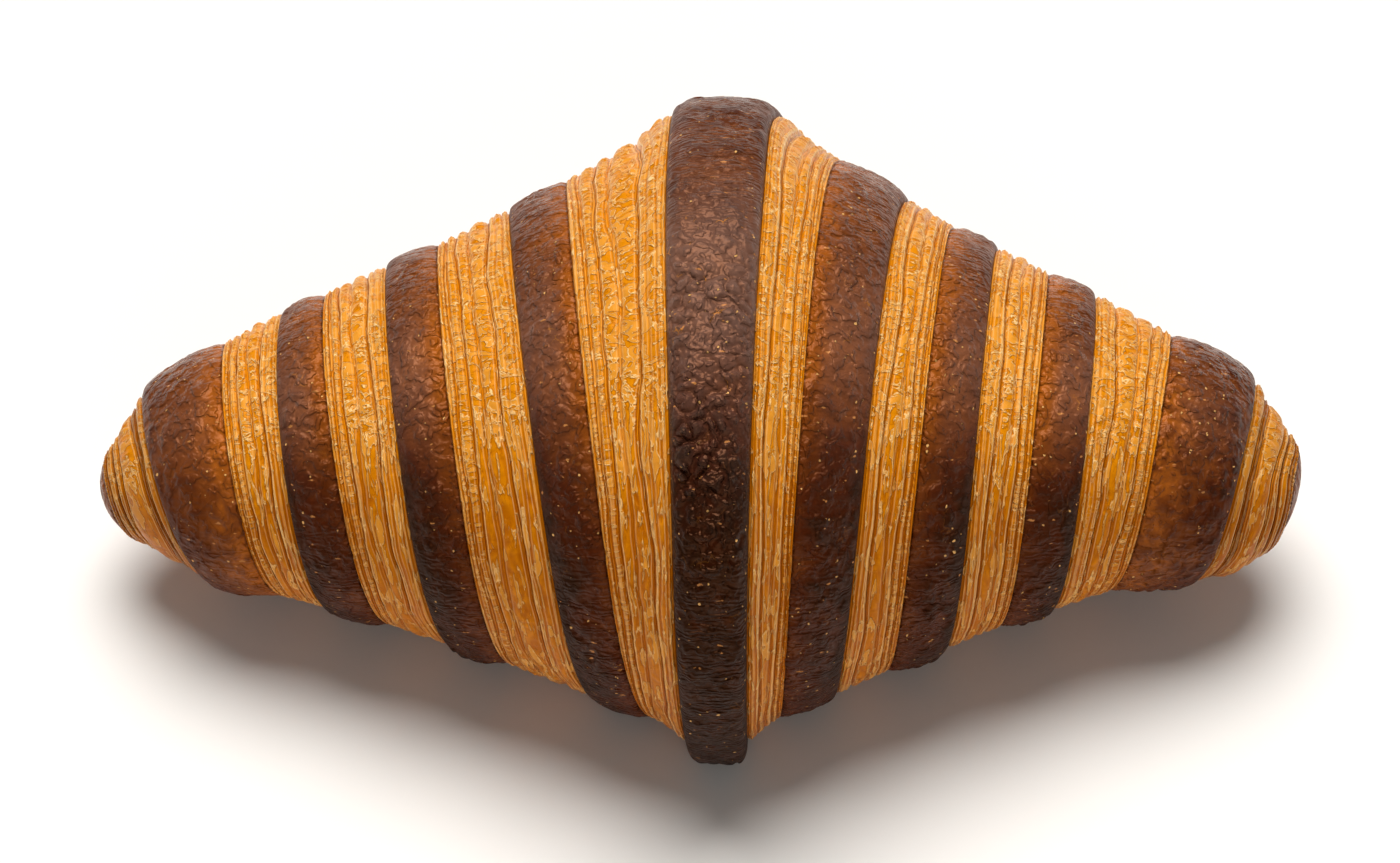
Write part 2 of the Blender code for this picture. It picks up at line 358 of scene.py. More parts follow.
@dataclass(frozen=True)
class Roll:
    """The whole roll that the wraps lie on, in millimetres.

    It is the solid's, but for fuller cut faces beside the flap, a squarer flap low in front, a
    fuller right end and edges moved by up to 1.5 mm.
    """

    left: Flank = Flank(
        Side.LEFT, 88.0, 0.365,
        (3.9, 7.6, 17.6, 29.0, 38.4, 45.4, 56.6, 59.5, 73.0, 79.5),
        (9.5, 21.5, 30.1, 38.6, 48.1, 53.8, 63.8, 67.7, 85.0, 86.3),
    )
    right: Flank = Flank(
        Side.RIGHT, 83.6, 0.396,
        (3.8, 7.9, 16.3, 25.1, 32.9, 37.9, 48.7, 51.8, 69.0, 74.8),
        (8.4, 15.8, 24.3, 31.8, 41.0, 45.3, 57.3, 62.8, 81.0, 82.4),
        draw_in=0.6, belly=3.8, pinch=0.7,
    )
    wraps: int = 5
    # Angle round the roll at which a new turn starts: at the back, above.
    back_above: float = 135.0
    # Radius in the middle, without and with its swell, and how oval the roll is.
    core_radius: float = 42.5
    waist_swell: float = 3.2
    waist_reach: float = 22.5
    depth_ratio: float = 1.07
    height_ratio: float = 0.907
    # The axis: its height, its crown in the middle, and how its ends droop, bow and tilt.
    axis_height: float = 26.0
    axis_crown: float = 4.0
    axis_droop: float = 9.1
    axis_bow: float = 1.2
    axis_tilt: float = 0.5
    droop_power: float = 2.7
    droop_span: float = 85.0
    # How softly the roll's side turns into its flat base.
    table_blend: float = 4.0
    table_ease: float = 0.25
    # How far the flap swings sideways behind and in front, and from which angles.
    skew_back: float = 2.1
    skew_front: float = 1.7
    skew_rest: float = 0.6
    skew_reach: float = 45.0
    skew_back_from: float = 205.0
    skew_front_from: float = 245.0
    skew_span: float = 75.0
    skew_limit: float = 1.2
    # Height of the flap above its cut face, behind and in front.
    rise_back: float = 3.45
    rise_front: float = 4.4
    # Degrees over which the last cut face opens from nothing.
    opening: float = 70.0
    # Share of a side's reach beyond which its farthest point lies.
    end_from: float = 0.8

    def unrolled(self, around: np.ndarray, wrap: int) -> np.ndarray:
        """Angle along the spiral, for an angle round the roll and a number of whole turns."""
        return self.back_above - around + FULL_TURN * wrap

    def cone(self, flank: Flank, distance: np.ndarray) -> np.ndarray:
        """Mean radius of the roll under its relief.

        Args:
            flank: The side of the roll.
            distance: Distance from the middle of the flap.

        Returns:
            The radius at each distance.
        """
        t = np.clip((distance - flank.tip_start) / (flank.reach - flank.tip_start), 0.0, 1.0)
        closing = (1.0 - t ** flank.tip_roundness) ** (1.0 / flank.tip_roundness)
        swell = self.waist_swell * bell(distance, self.waist_reach)
        return (self.core_radius - flank.taper * distance + swell) * closing

    def skew(self, distance: np.ndarray, around: np.ndarray) -> np.ndarray:
        """Sideways swing of the flap, which the wraps beside it share.

        Args:
            distance: Distance from the middle of the flap.
            around: Angle round the roll.

        Returns:
            How far each place is moved along the roll.
        """
        back = np.clip((self.skew_back_from - around) / self.skew_span, 0.0, self.skew_limit)
        front = np.clip((around - self.skew_front_from) / self.skew_span, 0.0, self.skew_limit)
        swing = self.skew_back * back ** 2 + self.skew_front * front ** 2 - self.skew_rest
        return swing * bell(distance, self.skew_reach)

    def place(self, flank: Flank, distance: np.ndarray, around: np.ndarray,
              size: np.ndarray) -> np.ndarray:
        """Points round the drooping axis, pressed flat where they meet the table.

        Args:
            flank: The side of the roll.
            distance: Distance from the middle of the flap.
            around: Angle round the roll.
            size: Mean radius at each point.

        Returns:
            Points in millimetres, with the middle of the flap at x = 0.
        """
        angle = np.radians(around)
        sign = flank.side.value
        size = flank.filled(distance, around, size)
        across = size * self.depth_ratio * np.sin(angle)
        upright = -size * self.height_ratio * np.cos(angle)
        along = np.maximum(distance, 0.0) / self.droop_span
        drooped = along ** self.droop_power
        lean = self.droop_power * along ** (self.droop_power - 1.0) / self.droop_span
        crown = self.axis_crown * bell(distance, self.waist_reach)
        axis = self.axis_height - self.axis_droop * drooped + crown
        height = axis + self.axis_tilt * sign * along + upright
        press = np.clip(1.0 - np.abs(height) / self.table_blend, 0.0, None)
        height = np.maximum(height, 0.0) + self.table_ease * self.table_blend * press * press
        spot = distance + lean * (self.axis_bow * across + self.axis_droop * upright)
        x = sign * spot + self.skew(distance, around)
        return np.stack(np.broadcast_arrays(x, across - self.axis_bow * drooped, height), axis=-1)

    def flap_rise(self, around: np.ndarray) -> np.ndarray:
        """Height of the flap above its cut face, which grows towards the front."""
        share = np.clip((around - self.back_above) / HALF_TURN, 0.0, 1.0)
        return self.rise_back + (self.rise_front - self.rise_back) * share

    def flap_base(self, flank: Flank, around: np.ndarray) -> np.ndarray:
        """Radius of the roll under the flap's edge."""
        return self.cone(flank, flank.shoulder(self.unrolled(around, 0)))

    def centring(self) -> np.ndarray:
        """Finds where the roll has to go.

        Returns:
            The shift in millimetres that brings the roll to where the solid stands.
        """
        turn = np.linspace(0.0, FULL_TURN, 97)[None]
        spots = []
        for flank in (self.left, self.right):
            end = np.linspace(self.end_from, 1.0, 60)[:, None] * flank.reach
            spots.append(self.place(flank, end, turn, self.cone(flank, end))[..., 0])
        size = self.flap_base(self.right, turn) + self.flap_rise(turn)
        ring = self.place(self.right, np.zeros_like(turn), turn, size)[..., 1]
        low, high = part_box(NODE)
        middle = np.array([values.min() + values.max() for values in (np.array(spots), ring)])
        target = np.array([low.x + high.x, low.y + high.y]) / MM
        return np.append((target - middle) / 2.0, low.z / MM)


@dataclass(frozen=True)
class Dough:
    """What every piece is made from: the roll, its unevenness, and its shift to the solid's place."""

    roll: Roll
    chance: Unevenness
    shift: np.ndarray

    def sunk(self, flank: Flank, distance: np.ndarray, around: np.ndarray, size: np.ndarray,
             depth: np.ndarray, most: float = 0.6) -> tuple[np.ndarray, np.ndarray]:
        """Points of a surface that sinks in towards the roll's axis.

        Args:
            flank: The side of the roll.
            distance: Distance from the middle of the flap.
            around: Angle round the roll.
            size: Radius at each point.
            depth: How far each point sinks.
            most: Share of the way to the axis that a point sinks at most.

        Returns:
            The points, and the points of the axis that they sink towards.
        """
        top = self.roll.place(flank, distance, around, size) + self.shift
        axis = self.roll.place(flank, distance, around, np.zeros_like(size)) + self.shift
        inward = axis - top
        length = length_of(inward)
        return top + inward / length * np.minimum(depth[..., None], most * length), axis

    def bordered(self, flank: Flank, distance: np.ndarray, around: np.ndarray, size: np.ndarray,
                 depth: np.ndarray, marks: dict[str, np.ndarray],
                 tucked: np.ndarray = TUCKED) -> dict[str, np.ndarray]:
        """Lays out a strip whose inner border is tucked in and whose outer edge curls over.

        Args:
            flank: The side of the roll.
            distance: Distance of each column from the flap, one row for each ring.
            around: Angle of each ring round the roll.
            size: Radius at each point.
            depth: How far each point sinks towards the axis.
            marks: Values to keep on the mesh, by name.
            tucked: Extra columns at the inner border.

        Returns:
            The strip's points, "top", the axis' points, "axis", and its marks, all with the extra
            columns.
        """
        extra = len(tucked), len(CURLED)
        wide = np.concatenate([distance[:, :1] + tucked[:, 0], distance,
                               distance[:, -1:] + CURLED[:, 0]], axis=1)
        sunk = pad(depth, *extra)
        sunk[:, :len(tucked)] = tucked[:, 1]
        sunk[:, -len(CURLED):] += CURLED[:, 1]
        top, axis = self.sunk(flank, np.clip(wide, 0.0, flank.reach), around, pad(size, *extra), sunk)
        padded = {mark: pad(np.broadcast_to(values, distance.shape), *extra)
                  for mark, values in marks.items()}
        return {"top": top, "axis": axis, **padded}


def deselect_all() -> None:
    """Leaves edit mode and selects nothing, so that an operator acts only on what is new."""
    if bpy.context.object and bpy.context.object.mode != "OBJECT":
        bpy.ops.object.mode_set(mode="OBJECT")
    bpy.ops.object.select_all(action="DESELECT")


def turn_outwards(mesh: bpy.types.Mesh) -> None:
    """Turns the faces round if the closed mesh is inside out.

    Args:
        mesh: A closed mesh whose faces all point the same way.
    """
    mesh.calc_loop_triangles()
    corners = np.empty(len(mesh.loop_triangles) * 3, np.int32)
    mesh.loop_triangles.foreach_get("vertices", corners)
    spots = np.empty(len(mesh.vertices) * 3, np.float32)
    mesh.vertices.foreach_get("co", spots)
    a, b, c = spots.reshape(-1, 3)[corners.reshape(-1, 3)].astype(float).transpose(1, 0, 2)
    if (a * np.cross(b, c)).sum() < 0.0:
        mesh.flip_normals()


@dataclass
class Lathed:
    """A closed piece made of rings: a sphere's rings are moved on them, its poles close the ends."""

    name: str
    rings: np.ndarray
    marks: dict[str, np.ndarray]

    def build(self) -> tuple[bpy.types.Object, np.ndarray, np.ndarray]:
        """Models the piece from a sphere with as many rings and segments.

        Returns:
            The piece, in metres, and the ring and the place on its ring of each vertex. A pole's
            ring is -1 or the number of rings.
        """
        rows, columns = self.rings.shape[:2]
        deselect_all()
        bpy.ops.mesh.primitive_uv_sphere_add(segments=columns, ring_count=rows + 1, radius=1.0,
                                             calc_uvs=True)
        piece = bpy.context.object
        piece.name = piece.data.name = self.name
        mesh = piece.data
        unit = np.empty(len(mesh.vertices) * 3, np.float32)
        mesh.vertices.foreach_get("co", unit)
        x, y, z = unit.reshape(-1, 3).astype(float).T
        row = np.rint((rows + 1) * np.arctan2(np.hypot(x, y), z) / math.pi).astype(int) - 1
        column = np.rint(np.arctan2(y, x) / (2.0 * math.pi) * columns).astype(int) % columns
        held = np.clip(row, 0, rows - 1)
        spots = self.rings[held, column]
        spots[row < 0] = self.rings[0].mean(axis=0)
        spots[row >= rows] = self.rings[-1].mean(axis=0)
        mesh.vertices.foreach_set("co", (spots * MM).astype(np.float32).ravel())
        turn_outwards(mesh)
        for mark, values in self.marks.items():
            layer = mesh.attributes.new(mark, "FLOAT", "POINT")
            layer.data.foreach_set("value", values[held, column].astype(np.float32))
        mesh.uv_layers[0].name = BAKE_MAP
        mesh.update()
        bpy.ops.object.shade_smooth()
        return piece, row, column


@dataclass
class Ribbon:
    """A closed strip of crust: rings of points across the strip, one after another along it.

    Its parts are the points of the shown side, "top", the axis' points, "axis", and its marks.
    """

    name: str
    parts: dict[str, np.ndarray]
    # The inner side: how far below the shown one it lies in mm, and its columns.
    thickness: float = 3.2
    under_columns: int = 7
    # The bake map: how far the ends lie beyond the outer rings, in rings, then the margin, how far
    # a face may reach past its row, and the inner side's height, as shares of a row.
    end_share: float = 0.6
    map_margin: float = 0.004
    map_overlap: float = 1.05
    under_share: float = 0.06

    def build(self) -> bpy.types.Object:
        """Models the strip: each ring runs over the shown side and back along the inner side.

        Returns:
            The finished piece, with its bake map and its marks.
        """
        top, axis = self.parts["top"], self.parts["axis"]
        under = np.linspace(top.shape[1] - 1, 0, self.under_columns + 2)[1:-1].round().astype(int)
        shown = top[:, under]
        inward = axis[:, under] - shown
        length = length_of(inward)
        depth = np.minimum(self.thickness, length * 0.5)
        rings = np.concatenate([top, shown + inward / length * depth], axis=1)
        marks = {mark: np.concatenate([values, values[:, under]], axis=1)
                 for mark, values in self.parts.items() if mark not in ("top", "axis")}
        piece, row, column = Lathed(self.name, rings, marks).build()
        self.lay_map(piece.data, row, column, *rings.shape[:2])
        return piece

    def lay_map(self, mesh: bpy.types.Mesh, row: np.ndarray, column: np.ndarray, rows: int,
                columns: int) -> None:
        """Lays the strip out flat, cut into a few rows above each other.

        Args:
            mesh: The strip's mesh.
            row: Ring of each vertex, -1 and rows at the two ends.
            column: Place of each vertex on its ring.
            rows: Number of rings.
            columns: Number of points on a ring.
        """
        top = self.parts["top"]
        steps = np.linalg.norm(np.diff(top, axis=1), axis=-1).mean(axis=0)
        run = np.linalg.norm(np.diff(top[:, ::4], axis=0), axis=-1).mean(axis=1).sum()
        shown = np.concatenate([[0.0], np.cumsum(steps)])
        folds = max(1, round(math.sqrt(run / max(shown[-1], 1.0))))
        under = np.linspace(1.0, 1.0 + self.under_share, columns - len(shown) + 2)[1:]
        across = np.concatenate([shown / shown[-1], under]) / (1.0 + self.under_share)
        corner = np.empty(len(mesh.loops), np.int32)
        mesh.loops.foreach_get("vertex_index", corner)
        start, count = np.empty((2, len(mesh.polygons)), np.int32)
        mesh.polygons.foreach_get("loop_start", start)
        mesh.polygons.foreach_get("loop_total", count)
        face = np.repeat(np.arange(len(start)), count)
        r, c = row[corner].astype(float), column[corner].astype(float)
        at_end = (row[corner] < 0) | (row[corner] >= rows)
        high = np.maximum.reduceat(np.where(at_end, -1, c), start)[face]
        low = np.minimum.reduceat(np.where(at_end, columns, c), start)[face]
        closing = high - low > columns / 2
        c = np.where(closing & (c < columns / 2) & ~at_end, c + columns, c)
        c = np.where(at_end, np.where(closing, columns - 0.5, (high + low) / 2.0), c)
        r = np.clip(r, -self.end_share, rows - 1 + self.end_share) + self.end_share
        length = (rows - 1 + 2.0 * self.end_share) / folds
        fold = np.floor((np.minimum.reduceat(r, start)[face] + TINY) / length).clip(0, folds - 1)
        u = np.clip((r - fold * length) / length, 0.0, self.map_overlap) / self.map_overlap
        v = np.interp(c, np.arange(len(across)), across)
        margin = self.map_margin * folds
        places = np.stack([
            self.map_margin + u * (1.0 - 2.0 * self.map_margin),
            (fold + margin + v * (1.0 - 2.0 * margin)) / folds,
        ], axis=-1)
        mesh.uv_layers[0].data.foreach_set("uv", places.astype(np.float32).ravel())


@dataclass
class Turn:
    """One turn of one side of the roll, which a skin or a cut face lies on."""

    dough: Dough
    flank: Flank
    wrap: int

    def once_round(self, step: float) -> tuple[np.ndarray, float]:
        """Rings of the turn.

        Args:
            step: Distance between rings in millimetres.

        Returns:
            The rings' angles round the roll, as a column, and the length of the turn.
        """
        middle = self.dough.roll.unrolled(np.array(HALF_TURN), self.wrap)
        radius = float(self.dough.roll.cone(self.flank, self.flank.shoulder(middle)))
        length = 2.0 * math.pi * radius
        return np.linspace(0.0, FULL_TURN, max(60, round(length / step)))[:, None], length

    def strip(self, kind: str, distance: np.ndarray, around: np.ndarray, size: np.ndarray,
              depth: np.ndarray, marks: dict[str, np.ndarray]) -> bpy.types.Object:
        """Builds the strip that shows this turn.

        Args:
            kind: Word for the piece's name.
            distance: Distance of each column from the flap, one row for each ring.
            around: Angle of each ring round the roll.
            size: Radius at each point.
            depth: How far each point sinks towards the axis.
            marks: Values to keep on the mesh, by name.

        Returns:
            The piece.
        """
        parts = self.dough.bordered(self.flank, distance, around, size, depth, marks)
        return Ribbon(f"{self.flank.side.label}_{kind}_{self.wrap}", parts).build()


@dataclass(frozen=True)
class Layer:
    """One strand of the cut face: its share of the width, relief and groove in mm, and browning."""

    share: float
    rise: float
    grain: Grain
    groove: float = 0.12
    browned: float = 0.0


# From the shoulder outwards: fibres torn along the edge, broad crinkled layers in the middle, then
# crimped layers and fine lines where the cut face runs into its seam.
CUT_LAYERS = (
    Layer(0.036, 0.11, Grain.PLAIN, 0.03),
    Layer(0.060, 0.17, Grain.CRINKLED, 0.07),
    Layer(0.115, 0.24, Grain.CRINKLED, 0.08),
    Layer(0.100, 0.22, Grain.CRINKLED, 0.05),
    Layer(0.024, 0.05, Grain.PLAIN, 0.20),
    Layer(0.225, 0.30, Grain.CRINKLED, 0.09),
    Layer(0.028, 0.10, Grain.PLAIN, 0.05),
    Layer(0.150, 0.26, Grain.CRINKLED, 0.06),
    Layer(0.026, 0.09, Grain.PLAIN, 0.18),
    Layer(0.105, 0.24, Grain.CRIMPED, 0.06),
    Layer(0.030, 0.08, Grain.PLAIN, 0.10),
    Layer(0.058, 0.18, Grain.CRIMPED, 0.14),
    Layer(0.043, 0.12, Grain.PLAIN, 0.08),
)
# Layers that step down together, as first and last number.
CUT_TERRACES = ((0, 3), (4, 5), (6, 7), (8, 9), (10, 12))
# The last turn's, where browned layers lie between the golden ones.
TIP_LAYERS = (
    Layer(0.030, 0.10, Grain.PLAIN, 0.04, 0.090),
    Layer(0.150, 0.24, Grain.CRINKLED, 0.10, 0.324),
    Layer(0.030, 0.10, Grain.PLAIN, 0.22, 0.315),
    Layer(0.060, 0.18, Grain.FIBROUS, 0.20, 0.720),
    Layer(0.030, 0.10, Grain.PLAIN, 0.16, 0.225),
    Layer(0.310, 0.32, Grain.CRINKLED, 0.12, 0.162),
    Layer(0.030, 0.12, Grain.PLAIN, 0.20, 0.180),
    Layer(0.100, 0.22, Grain.CRINKLED, 0.14, 0.270),
    Layer(0.030, 0.12, Grain.PLAIN, 0.20, 0.675),
    Layer(0.120, 0.20, Grain.CRINKLED, 0.14, 0.315),
    Layer(0.050, 0.16, Grain.FIBROUS, 0.20, 0.675),
    Layer(0.060, 0.16, Grain.CRIMPED, 0.14, 0.405),
)
TIP_TERRACES = ((0, 1), (2, 3), (4, 5), (6, 7), (8, 11))


@dataclass
class CutFace(Turn):
    """The golden cut face of one turn: thin dough layers side by side, seen on their edges."""

    layers: tuple[Layer, ...] = CUT_LAYERS
    terraces: tuple[tuple[int, int], ...] = CUT_TERRACES
    step_along: float = 0.30
    step_across: float = 0.24
    # How much closer the columns stand at the layers' borders, as a share of a layer.
    crowding: float = 0.07
    hollow: float = 0.015
    terrace_swell: float = 0.14
    settle: float = 0.30
    sway: float = 0.48
    sway_length: float = 17.0
    flutter: float = 0.13
    flutter_length: float = 4.6
    strand_swell: float = 0.45
    strand_length: float = 6.5
    # Exponents that lean a strand's back outwards and round it; exponent and peak of a terrace.
    strand_lean: float = 1.15
    strand_round: float = 2.8
    terrace_round: tuple[float, float] = (2.2, 0.45)
    # Width of the cut face from which its relief has its full height.
    full_width: float = 6.0
    # Reach of the line between two layers.
    line_reach: float = 0.16
    # Depth and reach of the dip along the shoulder and along the seam.
    shoulder_dip: tuple[float, float] = (0.30, 0.30)
    seam_dip: tuple[float, float] = (0.12, 0.35)
    # How much higher the first cut face stands beside the flap.
    collar: float = 1.3
    collar_reach: float = 2.6
    # Where curls give way to long fibres down the front, and by what share.
    drawn_from: float = 198.0
    drawn_span: float = 26.0
    drawn_share: float = 0.85
    # Where the relief gets flatter down the front, and by what share; the mark "level" drops there
    # too, so the colour gets darker there, painted shade of the underside.
    low_from: float = 196.0
    low_span: float = 50.0
    low_share: float = 0.5
    # Sizes of the fine relief across and along the layers.
    bend_size: tuple[float, float] = (2.4, 3.0)
    fibre_size: tuple[float, float] = (0.85, 4.4)
    curl_size: tuple[float, float] = (1.9, 1.35)
    pleat_size: tuple[float, float] = (1.1, 0.8)
    rib_step: float = 1.15
    # Heights of that relief: fibres, folds and twist of a fibrous layer; folds, pleats and fibres of
    # a crinkled one, and the fibres that it gains where curls give way to them; ribs and pleats of a
    # crimped one; bends and pleats of a plain one.
    fibrous: tuple[float, float, float] = (0.17, 0.12, 0.05)
    crinkled: tuple[float, float, float, float] = (0.20, 0.12, 0.06, 0.16)
    crimped: tuple[float, float] = (0.20, 0.15)
    plain: tuple[float, float] = (0.07, 0.07)
    # Share of the curls that is lost there.
    uncurled: float = 0.6

    def arc(self, unrolled: np.ndarray) -> np.ndarray:
        """Length along the spiral, which runs on from turn to turn.

        Args:
            unrolled: Angle along the spiral.

        Returns:
            The length in millimetres at each angle.
        """
        roll = self.dough.roll
        turns = np.linspace(-HALF_TURN * 1.5, FULL_TURN * (roll.wraps + 1), 600)
        radius = roll.cone(self.flank, self.flank.shoulder(turns))
        steps = 0.5 * (radius[1:] + radius[:-1]) * np.radians(np.diff(turns))
        return np.interp(unrolled, turns, np.concatenate([[0.0], np.cumsum(steps)]))

    def borders(self, arc: np.ndarray) -> np.ndarray:
        """Borders of the layers along the strip, which sway and swell.

        Args:
            arc: Length along the spiral of each ring.

        Returns:
            One row of borders, from 0 to 1, for each ring.
        """
        widths = []
        for number, layer in enumerate(self.layers):
            own = [np.full_like(arc, 7.3 * number), np.full_like(arc, 3.1 * self.flank.side.value)]
            slow, quick = (self.dough.chance.smooth(np.concatenate([place, *own], axis=1))
                           for place in (arc / self.sway_length, arc / self.flutter_length + 50.0))
            widths.append(layer.share * np.exp(self.sway * slow + self.flutter * quick))
        edges = np.cumsum(np.array(widths), axis=0).T
        return np.concatenate([np.zeros_like(arc), edges / edges[:, -1:]], axis=1)

    def columns(self, width: float) -> tuple[np.ndarray, np.ndarray]:
        """Columns of vertices across the cut face.

        Args:
            width: Its usual width in millimetres.

        Returns:
            The number of each column's layer, and its place across that layer, from 0 to 1.
        """
        numbers, places = [], []
        for number, layer in enumerate(self.layers):
            count = max(4, round(layer.share * width / self.step_across))
            even = np.arange(count) / count
            numbers += [number] * count
            places += list(even - self.crowding * np.sin(2.0 * math.pi * even))
        return np.array(numbers + [len(self.layers) - 1]), np.array(places + [1.0])

    def texture(self, number: int, t: np.ndarray, across: np.ndarray, along: np.ndarray,
                drawn: np.ndarray) -> np.ndarray:
        """Fine relief of one layer.

        Args:
            number: The layer's number, which sets its own random field.
            t: Place across the layer, from 0 to 1.
            across: Place across the cut face, in mm.
            along: Place along the spiral, in mm.
            drawn: How far curls give way to long fibres, from 0 to 1.

        Returns:
            Height in millimetres, fading out at the layer's borders.
        """
        chance, grain = self.dough.chance, self.layers[number].grain
        inside = np.sin(math.pi * np.clip(t, 0.0, 1.0)) ** 0.5
        level = np.full_like(across, 11.7 * number + 5.3 * self.flank.side.value)

        def bent(size: tuple[float, float], *moves: Any) -> np.ndarray:
            """Places in units of a size, moved across, along and to another field."""
            axes = zip((across / size[0], along / size[1], level), moves or (0.0, 0.0, 0.0))
            return np.stack([place + move for place, move in axes], axis=-1)

        loose = bent(self.bend_size)
        bend, twist = chance.smooth(loose), chance.smooth(loose + 37.0)
        fibres = chance.ridges(bent(self.fibre_size, 0.9 * bend, 0.4 * twist, 0.0))
        folds = chance.folds(bent(self.curl_size, twist, 1.1 * bend, 0.0))
        fine = chance.ridges(bent(self.pleat_size, twist, bend, 3.0))
        if grain is Grain.FIBROUS:
            fibre, fold, turn = self.fibrous
            return inside * (fibre * fibres + fold * folds + turn * twist)
        if grain is Grain.CRINKLED:
            fold, pleat, fibre, more = self.crinkled
            strength = 0.85 + 0.5 * chance.smooth(loose * 0.3 + 13.0)
            curled = (fold * folds + pleat * fine) * (1.0 - self.uncurled * drawn)
            return inside * strength * (curled + (fibre + more * drawn) * fibres)
        if grain is Grain.CRIMPED:
            rib, pleat = self.crimped
            phase = along / self.rib_step + 0.45 * t + 0.9 * bend
            strength = 0.6 + 0.7 * chance.smooth(loose * 0.6 + 9.0)
            return inside * (rib * strength * np.cos(2.0 * math.pi * phase) + pleat * fine)
        curve, pleat = self.plain
        return inside * (curve * bend + pleat * fine)

    def build(self) -> bpy.types.Object:
        """Models the cut face.

        Returns:
            The piece, with marks for its height, its groove and its place on the strip.
        """
        roll, flank = self.dough.roll, self.flank
        around, _ = self.once_round(self.step_along)
        unrolled = roll.unrolled(around, self.wrap)
        inner, outer = flank.shoulder(unrolled), flank.seam(unrolled)
        if self.wrap == roll.wraps - 1:
            outer = inner + (outer - inner) * ease(around / roll.opening)
        width = outer - inner
        arc = self.arc(unrolled)
        edges = self.borders(arc)
        which, t = self.columns(float(np.median(width)))
        share = edges[:, which + 1] - edges[:, which]
        q = edges[:, which] + share * t
        across = q * width
        along = np.broadcast_to(arc, q.shape)
        rise, groove, browned, curly, crimped = np.array([
            (layer.rise, layer.groove, layer.browned, layer.grain is Grain.CRINKLED,
             layer.grain is Grain.CRIMPED) for layer in self.layers], dtype=float).T
        # The strand's own round back, then its fine grain, then the step that it belongs to.
        swell = 1.0 + self.strand_swell * self.dough.chance.smooth(np.stack(
            [along / self.strand_length, np.broadcast_to(which * 4.7, q.shape), q * 0.0], axis=-1))
        back = 1.0 - np.abs(2.0 * t ** self.strand_lean - 1.0) ** self.strand_round
        grain = np.zeros_like(q)
        drawn = self.drawn_share * ease((around - self.drawn_from) / self.drawn_span)
        for number in range(len(self.layers)):
            mine = np.flatnonzero(which == number)
            grain[:, mine] = self.texture(number, t[mine], across[:, mine], along[:, mine], drawn)
        from_border = np.minimum(t, 1.0 - t) * share * width
        near = np.where(t < 0.5, which, np.minimum(which + 1, len(self.layers) - 1))
        cut = groove[near] * bell(from_border, self.line_reach)
        terrace = np.zeros_like(q)
        for first, last in self.terraces:
            start, span = edges[:, [first]], edges[:, [last + 1]] - edges[:, [first]]
            mine = np.flatnonzero((which >= first) & (which <= last))
            step = self.terrace_swell * span * width
            terrace[:, mine] = step * rounded((q[:, mine] - start) / span, *self.terrace_round)
        scale = np.clip(width / self.full_width, 0.0, 1.0)
        low = self.low_share * lowness(around, self.low_from, self.low_span)
        relief = (rise[which] * swell * back + grain - cut) * scale * (1.0 - low)
        size = ((1.0 - q) * roll.cone(flank, inner) + q * roll.cone(flank, outer)
                - self.hollow * width * np.sin(math.pi * q) + relief + terrace - self.settle * scale)
        if self.wrap == 0:
            size = size + self.collar * bell(across, self.collar_reach)
        depth = sum(deep * bell(away, reach) for away, (deep, reach) in (
            (across, self.shoulder_dip), ((1.0 - q) * width, self.seam_dip)))
        marks = {
            # Lower in hollows, grooves and low in front, where the colour is painted darker as shade.
            "level": np.clip(0.15 * back * swell + grain + 0.55 - 1.2 * cut - low, 0.0, 1.0),
            "browned": browned[which],
            "border": np.clip(from_border, 0.0, 1.0),
            "trough": groove[near] * scale,
            "edge": np.clip(np.minimum(across, width - across), 0.0, 1.0),
            "curly": curly[which] * (1.0 - drawn),
            "crimped": crimped[which],
            "across": across,
            "along": along,
        }
        return self.strip("layers", inner + across, around, size, depth, marks)


